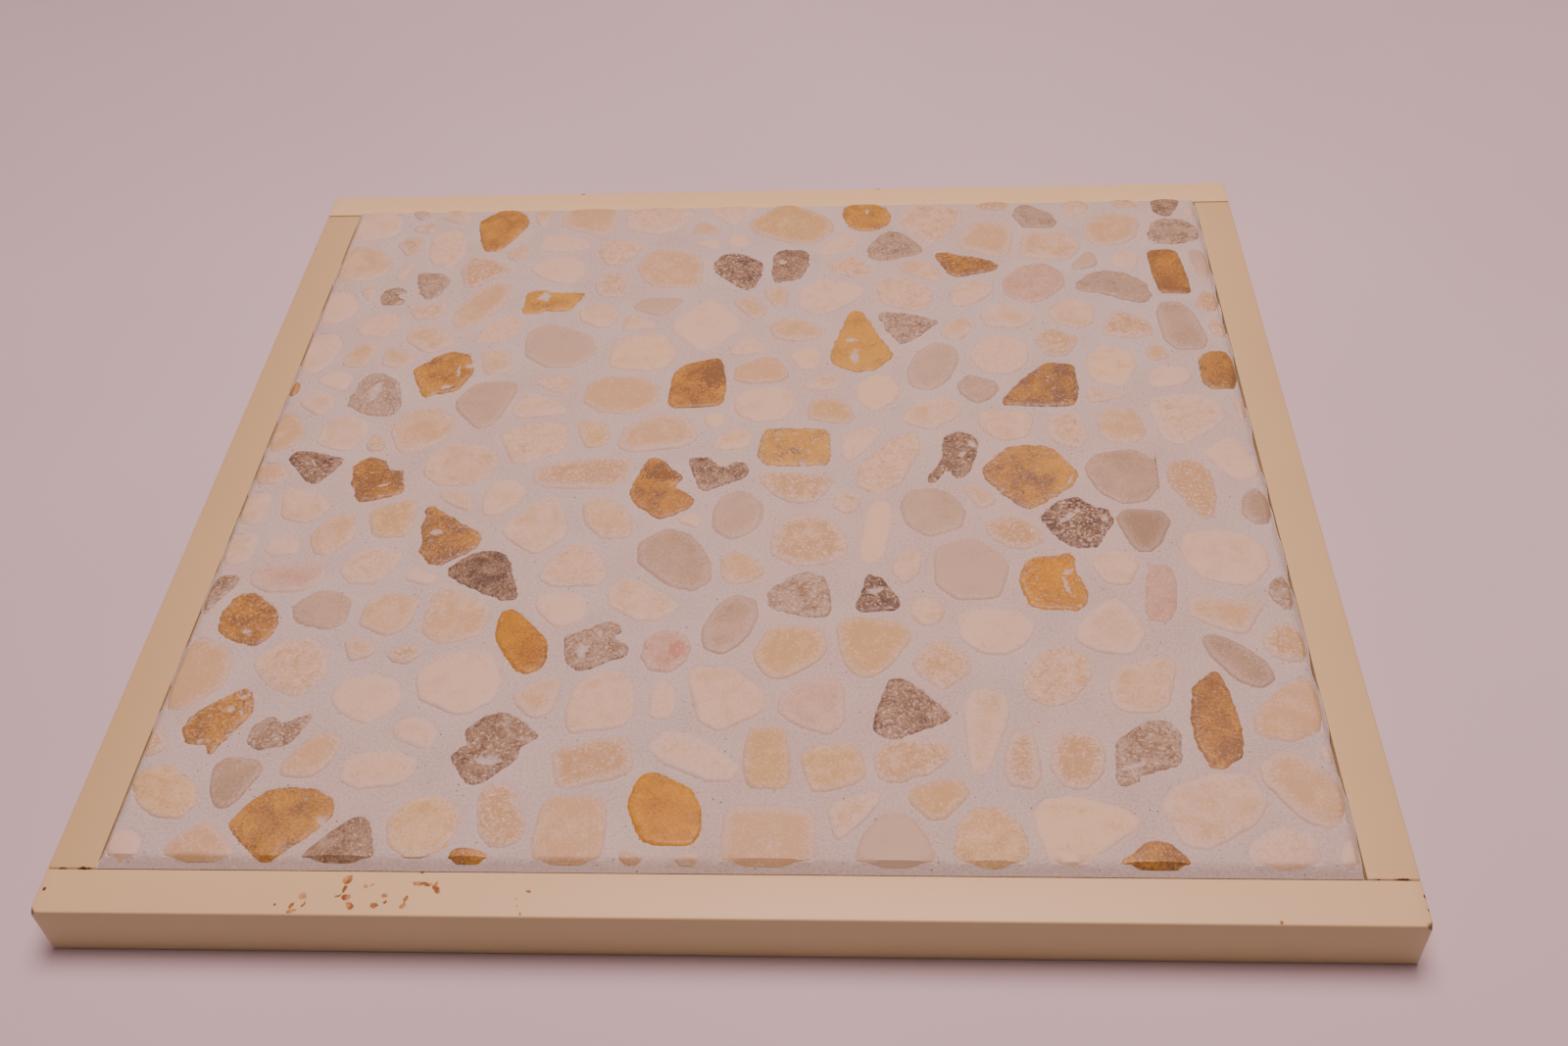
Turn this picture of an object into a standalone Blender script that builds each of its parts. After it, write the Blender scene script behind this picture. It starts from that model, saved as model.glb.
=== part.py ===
"""A framed pebble mosaic panel, lying on its back: four painted rails round a backing board, and on the
board a grouted bed of flat stones. The ochre and the brown stones are pieces of their own, each in its
pocket in the bed. The pale ones are made in one with the bed. Metres, +Z up, the origin on the underside
at the middle of the panel, -Y towards the front rail."""

import math
import random

import bmesh
import bpy
import numpy as np
from mathutils import Vector
from mathutils.geometry import delaunay_2d_cdt

MM = 0.001
PERCENT = 0.01

# The frame
PANEL_WIDTH = 330 * MM
PANEL_DEPTH = 309 * MM
RAIL_WIDTH = 12.2 * MM
RAIL_HEIGHT = 16.5 * MM
RAIL_EDGE_ROUND = 0.6 * MM
BOARD_THICKNESS = 6 * MM

# The mosaic
STONE_RISE = 3.2 * MM  # the stones' tops above the rails' tops
GROUT_RISE = 1.6 * MM  # the grout above the rails' tops
STONE_THICKNESS = 8 * MM
STONE_EDGE_ROUND = 0.9 * MM
MOST_ROUNDING = 0.4  # the most of a small stone's radius that the rounding takes
EDGE_GROUT = 1.1 * MM  # grout between the sawn stones and the rails
JOINT = 2.5 * MM  # the least grout between two pale stones
TIGHT_JOINT = 1.2 * MM  # the least grout between two stones laid for their colour or size
STONE_PITCH = 16.6 * MM  # from one pale stone's middle to the next
STONE_UNIT = 1 * MM  # what the list of pale stones gives lengths and widths in
CORNER_UNIT = 0.5 * MM  # what the lists of broken stones give their corners in
SMALLEST_STONE = 15 * MM * MM  # the least area that a sawn-off stone keeps
SMALLEST_CELL = 90 * MM * MM  # the least area that is given to a pale stone and its grout
FIT = 0.3 * MM  # the gap between two pieces that touch

# How the pale stones are laid at random, and how many points an outline has
LAYING_SEED = 41
LAYING_TRIES = 6000
LAYING_ROUNDS = 2
SMALLEST_SHARE = 0.62  # a pale stone's room, as shares of the pitch: the smallest, and what is added to it
ADDED_SHARE = (0.1, 0.55)
SQUEEZE = 0.1  # the most that a pale stone is narrowed all along
TAPER = 0.35  # and the most that its narrow end is narrowed further
CORNER_WEAR = (0.14, 0.28)  # the share of a side that is worn off at each corner
OUTLINE_POINTS = 8
LARGE_STONE = 250 * MM * MM  # a pale stone with less area than this has one point fewer
SMALL_STONE = 120 * MM * MM  # and one with less than this has two fewer
SAME_POINT = 0.0001 * MM

# The broken stones that were laid for their colour: the middle's place, in per cents of the bed's half
# width and half depth, and then the corners about it in corner units, clockwise from the left
OCHRE_STONES = (
    (-63, 90, (-20, 10), (-12, 21), (-4, 29), (9, 29), (19, 7), (10, -12), (2, -27), (-9, -28), (-15, -10)),
    (-47, 59, (-19, 12), (-11, 13), (-1, 10), (22, 10), (13, -11), (-4, -10), (-8, -14), (-20, -12)),
    (-67, 32, (-22, 5), (-4, 21), (3, 23), (14, 19), (20, 1), (12, -18), (-2, -21), (-7, -25), (-11, -20)),
    (-12, 28, (-17, 9), (-11, 18), (9, 25), (14, 22), (18, -4), (17, -21), (13, -24), (-15, -25), (-18, -20)),
    (23, 94, (-18, 4), (-17, 15), (5, 18), (14, 11), (18, -3), (15, -14), (6, -20), (-6, -20), (-13, -14)),
    (21, 42, (-17, -14), (-5, 33), (3, 33), (15, 3), (23, -12), (20, -20), (10, -29), (0, -31), (-15, -23)),
    (45, 72, (-20, 11), (-17, 15), (18, 4), (23, -1), (22, -7), (-2, -14), (-10, -13), (-16, 2)),
    (60, 27, (-28, -15), (0, 19), (15, 19), (20, 14), (19, -18), (14, -24), (-28, -23)),
    (9, 6, (-20, 13), (-17, 18), (18, 16), (21, 11), (21, -12), (19, -17), (-18, -17), (-23, -8)),
    (55, -4, (-28, 8), (-12, 26), (1, 29), (16, 23), (28, 3), (24, -8), (-1, -27), (-8, -25), (-26, -3)),
    (56, -35, (-15, 0), (-12, 19), (14, 25), (17, 22), (16, 9), (22, -5), (20, -14), (16, -19), (-10, -17)),
    (-17, -7, (-18, -3), (-10, 27), (-4, 29), (12, 10), (8, 1), (21, -9), (19, -16), (3, -27), (-15, -12)),
    (-74, -4, (-18, 14), (-8, 22), (2, 18), (5, 10), (15, 9), (16, 0), (20, -11), (-8, -20), (-15, 2)),
    (-58, -20, (-13, 21), (-9, 22), (10, 7), (23, 0), (25, -9), (6, -25), (-2, -26), (-10, -14)),
    (-89, -44, (-18, -9), (-17, 12), (-10, 21), (-3, 21), (12, 9), (16, -4), (15, -11), (8, -20)),
    (-39, -50, (-13, 4), (-13, 23), (-7, 26), (-2, 23), (16, 3), (19, -10), (16, -19), (9, -22), (2, -19)),
    (-89, -69, (-16, -5), (-12, 4), (10, 23), (15, 20), (20, 6), (8, -16), (5, -24), (1, -16), (-10, -15)),
    (-72, -91, (-25, -3), (-22, 4), (-11, 18), (-4, 20), (14, 19), (23, 14), (28, 3), (2, -26), (-5, -25)),
    (-9, -88, (-19, 1), (-17, 14), (-14, 20), (-8, 23), (12, 12), (17, 2), (19, -12), (15, -22), (-9, -21)),
    (81, -68, (-11, -10), (-8, 20), (5, 32), (8, 30), (12, 4), (13, -14), (11, -24), (1, -31), (-6, -31)),
    (69, -97, (-22, -12), (-21, -3), (-11, 2), (-6, 8), (0, 9), (5, 7), (12, 0), (24, -12)),
    (-39, -97, (-16, -12), (-14, -6), (-9, 1), (-3, 1), (9, -2), (12, -12)),
    (90, 68, (-9, -20), (-13, 25), (3, 27), (9, 24), (12, -10), (12, -24), (9, -26), (-7, -25)),
    (96, 31, (-12, -14), (-12, 10), (-5, 18), (12, 20), (12, -20), (-8, -20)),
    (-99, 27, (-6, -9), (-6, 9), (1, 10), (4, 3), (4, -4), (1, -9)),
)
BROWN_STONES = (
    (-85, 62, (-6, -4), (-6, 3), (-3, 8), (4, 11), (13, 5), (5, 1), (14, -7), (10, -10), (-2, -10)),
    (-75, 65, (-12, 3), (-16, 19), (0, 18), (10, 10), (4, -10), (-4, -13), (-9, -6)),
    (-7, 70, (-15, 3), (-15, 14), (-8, 22), (4, 23), (19, 12), (20, 4), (16, -18), (10, -21), (2, -15)),
    (5, 73, (-10, 10), (-7, 16), (10, 17), (14, 14), (14, 0), (10, -18), (-1, -19), (-5, -22), (-9, -19)),
    (29, 80, (-19, -2), (-8, 16), (0, 19), (8, 15), (21, -2), (20, -9), (-7, -18), (-17, -13)),
    (33, 48, (-23, 13), (-16, 15), (6, 9), (18, 4), (1, -14), (-8, -21), (-19, 2)),
    (62, 92, (-14, 1), (-12, 12), (-4, 15), (12, 2), (15, -7), (12, -14), (-9, -13)),
    (92, 97, (-8, -8), (-9, 13), (17, 12), (12, 0), (3, -16), (-2, -16)),
    (93, 84, (-18, -5), (-13, 12), (-6, 17), (10, 16), (19, 8), (19, -8), (2, -13), (-11, -13)),
    (77, 63, (-25, 0), (-12, 15), (-1, 16), (14, 10), (23, 0), (25, -12), (19, -22), (-8, -9), (-21, -7)),
    (-80, 25, (-17, -4), (-12, 16), (-9, 21), (0, 21), (14, 8), (18, -14), (14, -21), (0, -22), (-17, -11)),
    (-89, 1, (-15, 7), (-12, 13), (-6, 14), (20, 7), (21, 2), (9, -17), (3, -15)),
    (-6, -2, (-20, 13), (-7, 14), (0, 4), (6, 4), (10, 9), (17, 8), (19, -3), (-5, -16), (-9, -15)),
    (40, 2, (-6, 0), (-4, 20), (6, 26), (18, 16), (10, -14), (3, -19), (-3, -10), (-10, -21), (-16, -21)),
    (63, -18, (-22, 5), (-11, 19), (3, 23), (10, 14), (19, 11), (21, 3), (9, -19), (-2, -20), (-10, -14)),
    (-48, -32, (-21, 6), (-11, 17), (2, 20), (10, 18), (23, -15), (21, -20), (14, -19), (-20, -1)),
    (12, -37, (-21, 0), (-7, 14), (1, 16), (10, 13), (16, -13), (11, -18), (-2, -16), (-18, -11)),
    (26, -37, (-11, -2), (-8, 15), (0, 12), (11, -7), (9, -13), (-10, -14), (-15, -10)),
    (-25, -51, (-17, 7), (6, 18), (13, 16), (14, 11), (9, 7), (19, 1), (19, -6), (-6, -17), (-14, -10)),
    (30, -66, (-17, -8), (-9, 20), (0, 21), (24, -3), (21, -8), (-7, -20), (-15, -15)),
    (-39, -75, (-18, 11), (-8, 21), (2, 24), (23, 8), (13, 0), (12, -8), (-7, -27), (-23, -5), (-13, 2)),
    (-77, -72, (-15, 5), (-6, 12), (1, 6), (11, 13), (17, 14), (10, -4), (6, -7), (-7, -11), (-15, -6)),
    (70, -75, (-16, 6), (1, 19), (11, 19), (16, 11), (14, -9), (-8, -15), (-8, -20), (-16, -22), (-19, -19)),
    (-60, -95, (-25, -13), (0, 13), (6, 14), (9, 11), (17, -10), (21, -14)),
    (99, -37, (-12, -2), (-10, 5), (-6, 11), (4, 17), (4, -18), (-6, -12)),
    (-99, -36, (-4, -22), (-4, 14), (4, 13), (13, 13), (15, 8), (13, 2), (6, -10), (2, -23)),
)

# What shapes a worn pale stone: how square it is (2 is an oval), how much narrower one end is, how far one
# end leans over, how far the middle is bent, and how far it is waisted
FORMS = {
    "oval": (2.3, 0.0, 0.0, 0.0, 0.0),
    "egg": (2.4, 0.25, 0.0, 0.0, 0.0),
    "pear": (2.3, 0.5, 0.0, 0.0, 0.0),
    "wedge": (3.0, 0.5, 0.0, 0.0, 0.0),
    "brick": (4.6, 0.05, 0.0, 0.0, 0.0),
    "slab": (3.2, 0.2, 0.1, 0.0, 0.0),
    "bean": (2.5, 0.0, 0.0, 0.35, 0.0),
    "bone": (2.8, 0.0, 0.0, 0.1, 0.3),
}

# The larger pale stones, among which the rest of the bed is laid: the middle's place as above, the length
# and width in stone units, the turn of the narrow end from +X in degrees, and the form
PALE_STONES = (
    (-12, -52, 15, 13, 80, "oval"),
    (-12, -28, 28, 18, -52, "egg"),
    (-1, -45, 23, 13, 68, "oval"),
    (75, -20, 18, 13, -95, "wedge"),
    (73, -4, 24, 21, -80, "egg"),
    (87, -54, 23, 10, 130, "egg"),
    (-63, 58, 29, 14, 62, "oval"),
    (-75, 82, 25, 14, 95, "oval"),
    (98, -13, 16, 13, 90, "egg"),
    (76, -37, 23, 11, 82, "bone"),
    (94, -83, 25, 16, 125, "slab"),
    (-82, -83, 16, 11, -95, "wedge"),
    (60, 64, 24, 19, 50, "oval"),
    (86, -8, 27, 12, -80, "pear"),
    (8, -94, 24, 19, 0, "brick"),
    (79, -87, 27, 19, 20, "slab"),
    (28, -99, 30, 22, 90, "wedge"),
    (-58, 1, 23, 20, 0, "oval"),
    (6, 90, 29, 23, -40, "slab"),
    (90, 47, 27, 13, 92, "slab"),
    (37, 33, 26, 15, 70, "oval"),
    (-28, 24, 26, 20, -5, "oval"),
    (-33, -2, 31, 14, 178, "slab"),
    (28, 1, 31, 14, 60, "egg"),
    (-5, -77, 25, 11, -35, "slab"),
    (24, -51, 22, 18, -100, "wedge"),
    (25, -20, 27, 11, 82, "bone"),
    (-31, -29, 18, 17, 90, "wedge"),
    (-85, -32, 23, 12, 3, "bean"),
    (46, -47, 17, 21, -95, "egg"),
    (56, -58, 22, 16, 55, "oval"),
    (14, -65, 18, 17, 180, "wedge"),
    (43, -71, 29, 10, -98, "wedge"),
    (49, -77, 19, 9, 80, "slab"),
    (31, -77, 20, 12, 10, "slab"),
    (58, -77, 19, 14, 80, "oval"),
    (7, -77, 20, 12, 95, "brick"),
    (-22, -78, 21, 14, 14, "brick"),
    (-58, -80, 20, 12, 5, "oval"),
    (-48, -92, 19, 18, 60, "oval"),
    (-36, -89, 22, 11, 100, "slab"),
    (-24, -94, 25, 18, 90, "brick"),
    (43, -94, 20, 18, 90, "egg"),
    (-93, -85, 22, 13, -35, "oval"),
)

INNER_WIDTH = PANEL_WIDTH - 2 * (RAIL_WIDTH + FIT)
INNER_DEPTH = PANEL_DEPTH - 2 * (RAIL_WIDTH + FIT)
TRIM = np.array((INNER_WIDTH, INNER_DEPTH)) / 2 - EDGE_GROUT
STONE_TOP = RAIL_HEIGHT + STONE_RISE
GROUT_TOP = RAIL_HEIGHT + GROUT_RISE
STONE_FOOT = STONE_TOP - STONE_THICKNESS
BED_FOOT = BOARD_THICKNESS + FIT


def laying_place(x, y):
    return np.array((x * INNER_WIDTH, y * INNER_DEPTH)) * PERCENT / 2


def broken_outline(x, y, *corners):
    """A broken stone's outline, anticlockwise, from its line in one of the lists above."""
    return laying_place(x, y) + np.array(corners[::-1]) * CORNER_UNIT


def worn_outline(x, y, length, width, turn, form):
    """A worn stone's outline, anticlockwise, from its line in the list above."""
    square, taper, lean, bend, waist = FORMS[form]
    step = 2 * np.pi / OUTLINE_POINTS
    angles = step * (np.arange(OUTLINE_POINTS) + 0.5)
    u = np.sign(np.cos(angles)) * np.abs(np.cos(angles)) ** (2 / square)
    v = np.sign(np.sin(angles)) * np.abs(np.sin(angles)) ** (2 / square)
    v = v * (1 - taper * u) * (1 - waist * (1 - u**2)) + bend * (u**2 - 0.5)
    along = u * length * STONE_UNIT / 2
    across = v * width * STONE_UNIT / 2 + lean * along
    c, s = math.cos(math.radians(turn)), math.sin(math.radians(turn))
    return laying_place(x, y) + np.stack([c * along - s * across, s * along + c * across], axis=1)


def cut_by_line(outline, point, normal):
    """What is left of an outline behind a line through the point, square to the normal."""
    side = (outline - point) @ normal
    kept = []
    for here, there, a, b in zip(outline, np.roll(outline, -1, axis=0), side, np.roll(side, -1)):
        if a <= 0:
            kept.append(here)
        if (a < 0 < b) or (b < 0 < a):
            kept.append(here + (there - here) * a / (a - b))
    return np.array(kept).reshape(-1, 2)


def sawn_to_frame(outline, limit):
    """An outline sawn straight where it would pass the limit on any of the four sides."""
    for axis in (0, 1):
        for sign in (-1, 1):
            normal = np.zeros(2)
            normal[axis] = sign
            outline = cut_by_line(outline, normal * limit[axis], normal)
            if len(outline) < 3:
                return outline
    return outline


def area(outline):
    x, y = outline.T
    return float(x @ np.roll(y, -1) - y @ np.roll(x, -1)) / 2


def middle(outline):
    """The centre of an outline's area."""
    following = np.roll(outline, -1, axis=0)
    cross = outline[:, 0] * following[:, 1] - outline[:, 1] * following[:, 0]
    return ((outline + following) * cross[:, None]).sum(axis=0) / (3 * cross.sum())


def nearest_on(outline, point):
    """The point of an outline that is nearest to a given one."""
    spans = np.roll(outline, -1, axis=0) - outline
    share = ((point - outline) * spans).sum(axis=1) / (spans**2).sum(axis=1)
    feet = outline + np.clip(share, 0, 1)[:, None] * spans
    return feet[np.argmin(((feet - point) ** 2).sum(axis=1))]


def room_round(outlines, points):
    """For each point, its distance to the nearest of some outlines, and 0 inside one."""
    room = np.full(len(points), np.inf)
    for outline in outlines:
        crossings = np.zeros(len(points), int)
        for a, b in zip(outline, np.roll(outline, -1, axis=0)):
            span = b - a
            share = np.clip((points - a) @ span / (span @ span), 0, 1)
            room = np.minimum(room, np.linalg.norm(points - a - share[:, None] * span, axis=1))
            level = (a[1] > points[:, 1]) != (b[1] > points[:, 1])
            reach = a[0] + span[0] * (points[:, 1] - a[1]) / (span[1] or 1)
            crossings += level & (points[:, 0] < reach)
        room[crossings % 2 == 1] = 0
    return room


def grown(outline, distance):
    """An outline with every side moved outwards by the distance."""
    before = outline - np.roll(outline, 1, axis=0)
    after = np.roll(outline, -1, axis=0) - outline
    out_before = np.stack([before[:, 1], -before[:, 0]], axis=1) / np.linalg.norm(before, axis=1)[:, None]
    out_after = np.stack([after[:, 1], -after[:, 0]], axis=1) / np.linalg.norm(after, axis=1)[:, None]
    corner = out_before + out_after
    return outline + distance * corner * 2 / (corner**2).sum(axis=1)[:, None]


def nipped(outlines):
    """Laid stones, each cut back where it would come closer to another than the tightest joint."""
    outlines = list(outlines)
    for second in range(len(outlines)):
        for first in range(second):
            a, b = outlines[first], outlines[second]
            apart = middle(b) - middle(a)
            if np.linalg.norm(apart) > 3 * STONE_PITCH:
                continue
            if min(room_round([a], b).min(), room_round([b], a).min()) < TIGHT_JOINT:
                way = apart / np.linalg.norm(apart)
                line = ((a @ way).max() + (b @ way).min()) / 2
                outlines[first] = cut_by_line(a, way * (line - TIGHT_JOINT / 2), way)
                outlines[second] = cut_by_line(b, way * (line + TIGHT_JOINT / 2), -way)
    return outlines


def laid_cell(index, places, sizes, laid):
    """The convex space round one pale stone, between its neighbours and the stones already laid."""
    place, size = places[index], sizes[index]
    reach = 3 * STONE_PITCH
    cell = np.array([(-1, -1), (1, -1), (1, 1), (-1, 1)]) * (TRIM + STONE_PITCH / 2)
    gaps = places - place
    distances = np.linalg.norm(gaps, axis=1)
    for other in np.flatnonzero((distances > 0) & (distances < reach)):
        share = 0.5 + (size**2 - sizes[other] ** 2) / (2 * distances[other] ** 2)
        cell = cut_by_line(cell, place + gaps[other] * share, gaps[other])
    for outline in laid:
        if np.abs(outline[0] - place).max() > 2 * reach or len(cell) < 3:
            continue
        gap = nearest_on(outline, place) - place
        distance = np.linalg.norm(gap)
        if 0 < distance < reach:
            way = gap / distance
            clear = ((outline - place) @ way).min() - JOINT / 2
            cell = cut_by_line(cell, place + way * clear, way)
    return cell


def narrowed(cell, distance):
    """A convex cell with every side moved inwards by the distance."""
    for a, b in zip(cell, np.roll(cell, -1, axis=0)):
        length = np.linalg.norm(b - a)
        if length > 0 and len(cell) > 2:
            outward = np.array((b[1] - a[1], a[0] - b[0])) / length
            cell = cut_by_line(cell, a - outward * distance, outward)
    return cell


def without_short_sides(outline, count):
    """An outline with no more points than the count, each of its shortest sides drawn together to a point."""
    while len(outline) > count:
        shortest = int(np.argmin(np.linalg.norm(np.roll(outline, -1, axis=0) - outline, axis=1)))
        outline = np.roll(outline, -shortest, axis=0)
        outline = np.vstack([(outline[0] + outline[1]) / 2, outline[2:]])
    return outline


def tumbled(cell, chance):
    """A cell made narrower towards one end, and its corners worn, as a tumbled chip's are."""
    centre = middle(cell)
    turn = chance.uniform(0, 2 * math.pi)
    along = np.array((math.cos(turn), math.sin(turn)))
    across = np.array((-along[1], along[0]))
    offset = cell - centre
    reach = offset @ along
    towards_end = (reach - reach.min()) / (reach.max() - reach.min())
    squeeze = chance.uniform(0, SQUEEZE) + chance.uniform(0, TAPER) * towards_end
    cell = centre + offset - np.outer(offset @ across * squeeze, across)
    step = (np.roll(cell, -1, axis=0) - cell) * chance.uniform(*CORNER_WEAR)
    cell = np.stack([cell + step, np.roll(cell, -1, axis=0) - step], axis=1).reshape(-1, 2)
    fewer = (area(cell) < LARGE_STONE) + (area(cell) < SMALL_STONE)
    return without_short_sides(cell, OUTLINE_POINTS - fewer)


def pale_field(laid):
    """Outlines of the further pale stones, which fill the bed between the stones already laid. The bed is
    laid past the frame and then sawn off straight, as a sheet of mosaic is."""
    chance = random.Random(LAYING_SEED)
    tries = []
    for share in np.linspace(1, 0, LAYING_TRIES):
        place = [chance.uniform(-half, half) for half in TRIM + STONE_PITCH / 2]
        tries.append((*place, STONE_PITCH * (SMALLEST_SHARE + share * chance.uniform(*ADDED_SHARE))))
    tries = np.array(tries)
    tries = tries[room_round(laid, tries[:, :2]) > tries[:, 2] / 2]
    kept = tries[:1]
    for trial in tries[1:]:
        clear = np.linalg.norm(kept[:, :2] - trial[:2], axis=1) > (kept[:, 2] + trial[2]) / 2
        if clear.all():
            kept = np.vstack([kept, trial])
    places, sizes = kept[:, :2], kept[:, 2]
    for _ in range(LAYING_ROUNDS):
        cells = [laid_cell(index, places, sizes, laid) for index in range(len(places))]
        wide = [index for index, cell in enumerate(cells) if len(cell) > 2 and area(cell) > SMALLEST_CELL]
        places, sizes = np.array([middle(cells[index]) for index in wide]), sizes[wide]
    outlines = []
    for index in range(len(places)):
        cell = narrowed(laid_cell(index, places, sizes, laid), JOINT / 2)
        if len(cell) > 2 and area(cell) > SMALLEST_STONE:
            outlines.append(tumbled(cell, chance))
    return outlines


def worn_top(outline):
    """The edge of a stone's flat top, inside its outline by the rounding of its edge, save on sawn sides."""
    centre = middle(outline)
    radius = np.linalg.norm(outline - centre, axis=1).mean()
    top = centre + (outline - centre) * (1 - min(STONE_EDGE_ROUND / radius, MOST_ROUNDING))
    return np.where(np.isclose(np.abs(outline), TRIM), outline, top)


def ring(mesh, outline, height):
    return [mesh.verts.new((x, y, height)) for x, y in outline]


def wall(mesh, lower, upper):
    """The side faces between two rings of as many points, facing outwards."""
    for index in range(len(lower)):
        following = (index + 1) % len(lower)
        mesh.faces.new((lower[index], lower[following], upper[following], upper[index]))


def finished(name, mesh, colour, roughness):
    """An object made of a closed mesh, with its own plain material."""
    data = bpy.data.meshes.new(name)
    mesh.to_mesh(data)
    mesh.free()
    data.shade_flat()
    material = bpy.data.materials.new(name)
    material.use_nodes = True
    shader = material.node_tree.nodes["Principled BSDF"]
    shader.inputs["Base Color"].default_value = (*colour, 1)
    shader.inputs["Roughness"].default_value = roughness
    shader.inputs["Metallic"].default_value = 0
    data.materials.append(material)
    piece = bpy.data.objects.new(name, data)
    bpy.context.scene.collection.objects.link(piece)
    return piece


def block(name, size, place, colour, roughness):
    """A square-edged block, with its foot at the height of its place."""
    mesh = bmesh.new()
    bmesh.ops.create_cube(mesh, size=1)
    bmesh.ops.scale(mesh, vec=size, verts=mesh.verts)
    bmesh.ops.translate(mesh, vec=(0, 0, size[2] / 2), verts=mesh.verts)
    piece = finished(name, mesh, colour, roughness)
    piece.location = place
    return piece


def make_frame():
    """The front and back rails run the panel's full width, and the side rails are butted between them."""
    paint = (0.74, 0.58, 0.38)
    side_place = (PANEL_WIDTH - RAIL_WIDTH) / 2
    end_place = (PANEL_DEPTH - RAIL_WIDTH) / 2
    side_length = PANEL_DEPTH - 2 * (RAIL_WIDTH + FIT)
    rails = (
        ("front_rail", (PANEL_WIDTH, RAIL_WIDTH), (0, -end_place)),
        ("back_rail", (PANEL_WIDTH, RAIL_WIDTH), (0, end_place)),
        ("left_rail", (RAIL_WIDTH, side_length), (-side_place, 0)),
        ("right_rail", (RAIL_WIDTH, side_length), (side_place, 0)),
    )
    for name, plan, place in rails:
        rail = block(name, (*plan, RAIL_HEIGHT), (*place, 0), paint, 0.45)
        edges = rail.modifiers.new("worn edges", "BEVEL")
        edges.width = RAIL_EDGE_ROUND
        edges.segments = 1


def make_board():
    size = (INNER_WIDTH, INNER_DEPTH, BOARD_THICKNESS)
    block("backing_board", size, (0, 0, 0), (0.52, 0.38, 0.24), 0.8)


def make_bed(pale, pocketed):
    """The grout with the pale stones standing out of it, and a pocket for each stone of its own piece."""
    mesh = bmesh.new()
    corners = np.array([(-1, -1), (1, -1), (1, 1), (-1, 1)]) * (INNER_WIDTH / 2, INNER_DEPTH / 2)
    rims = [grown(outline, FIT) for outline in pocketed]
    loops = [corners, *pale, *rims]
    rings = [ring(mesh, loop, GROUT_TOP) for loop in loops]
    flat = [vertex for points in rings for vertex in points]
    starts = np.cumsum([0] + [len(loop) for loop in loops])
    members = [list(range(start, start + len(loop))) for start, loop in zip(starts, loops)]
    points = [Vector(point) for point in np.vstack(loops)]
    _, _, triangles, sources, _, owners = delaunay_2d_cdt(points, [], members, 0, SAME_POINT)
    for triangle, inside in zip(triangles, owners):
        if list(inside) == [0]:
            mesh.faces.new([flat[sources[index][0]] for index in triangle])
    for outline, foot in zip(pale, rings[1:]):
        top = ring(mesh, worn_top(outline), STONE_TOP)
        wall(mesh, foot, top)
        mesh.faces.new(top)
    for outline, rim in zip(rims, rings[1 + len(pale) :]):
        floor = ring(mesh, outline, STONE_FOOT - FIT)
        wall(mesh, floor[::-1], rim[::-1])
        mesh.faces.new(floor)
    underside = ring(mesh, corners, BED_FOOT)
    wall(mesh, underside, rings[0])
    mesh.faces.new(underside[::-1])
    finished("grout_bed_with_pale_stones", mesh, (0.66, 0.55, 0.48), 0.85)


def make_stones(kind, outlines, colour):
    """Each stone as a piece of its own: straight down to its foot, and worn round above the grout."""
    for number, outline in enumerate(outlines, 1):
        mesh = bmesh.new()
        foot = ring(mesh, outline, STONE_FOOT)
        shoulder = ring(mesh, outline, GROUT_TOP)
        top = ring(mesh, worn_top(outline), STONE_TOP)
        wall(mesh, foot, shoulder)
        wall(mesh, shoulder, top)
        mesh.faces.new(foot[::-1])
        mesh.faces.new(top)
        finished(f"{kind}_stone_{number:02d}", mesh, colour, 0.6)


def sawn_stones(outlines):
    """Outlines sawn off at the frame, without any that the saw leaves next to nothing of."""
    sawn = [sawn_to_frame(outline, TRIM) for outline in outlines]
    return [outline for outline in sawn if len(outline) > 2 and area(outline) > SMALLEST_STONE]


for old in list(bpy.data.objects):
    bpy.data.objects.remove(old, do_unlink=True)
broken = [broken_outline(*stone) for stone in OCHRE_STONES + BROWN_STONES]
laid = nipped(broken + [worn_outline(*stone) for stone in PALE_STONES])
ochre = sawn_stones(laid[: len(OCHRE_STONES)])
brown = sawn_stones(laid[len(OCHRE_STONES) : -len(PALE_STONES)])
pale = sawn_stones(laid[-len(PALE_STONES) :] + pale_field(laid))
make_frame()
make_board()
make_bed(pale, ochre + brown)
make_stones("ochre", ochre, (0.55, 0.27, 0.08))
make_stones("brown", brown, (0.26, 0.18, 0.13))
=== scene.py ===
"""The finish of a framed pebble mosaic panel: painted rails, a backing board, and flat tumbled stones of
pale, ochre and brown marble and travertine set in pale grout. Metres, +Z up, -Y towards the front rail."""

import math
import random

import bmesh
import bpy
import numpy as np
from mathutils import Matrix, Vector, noise
from mathutils.geometry import delaunay_2d_cdt


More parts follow.
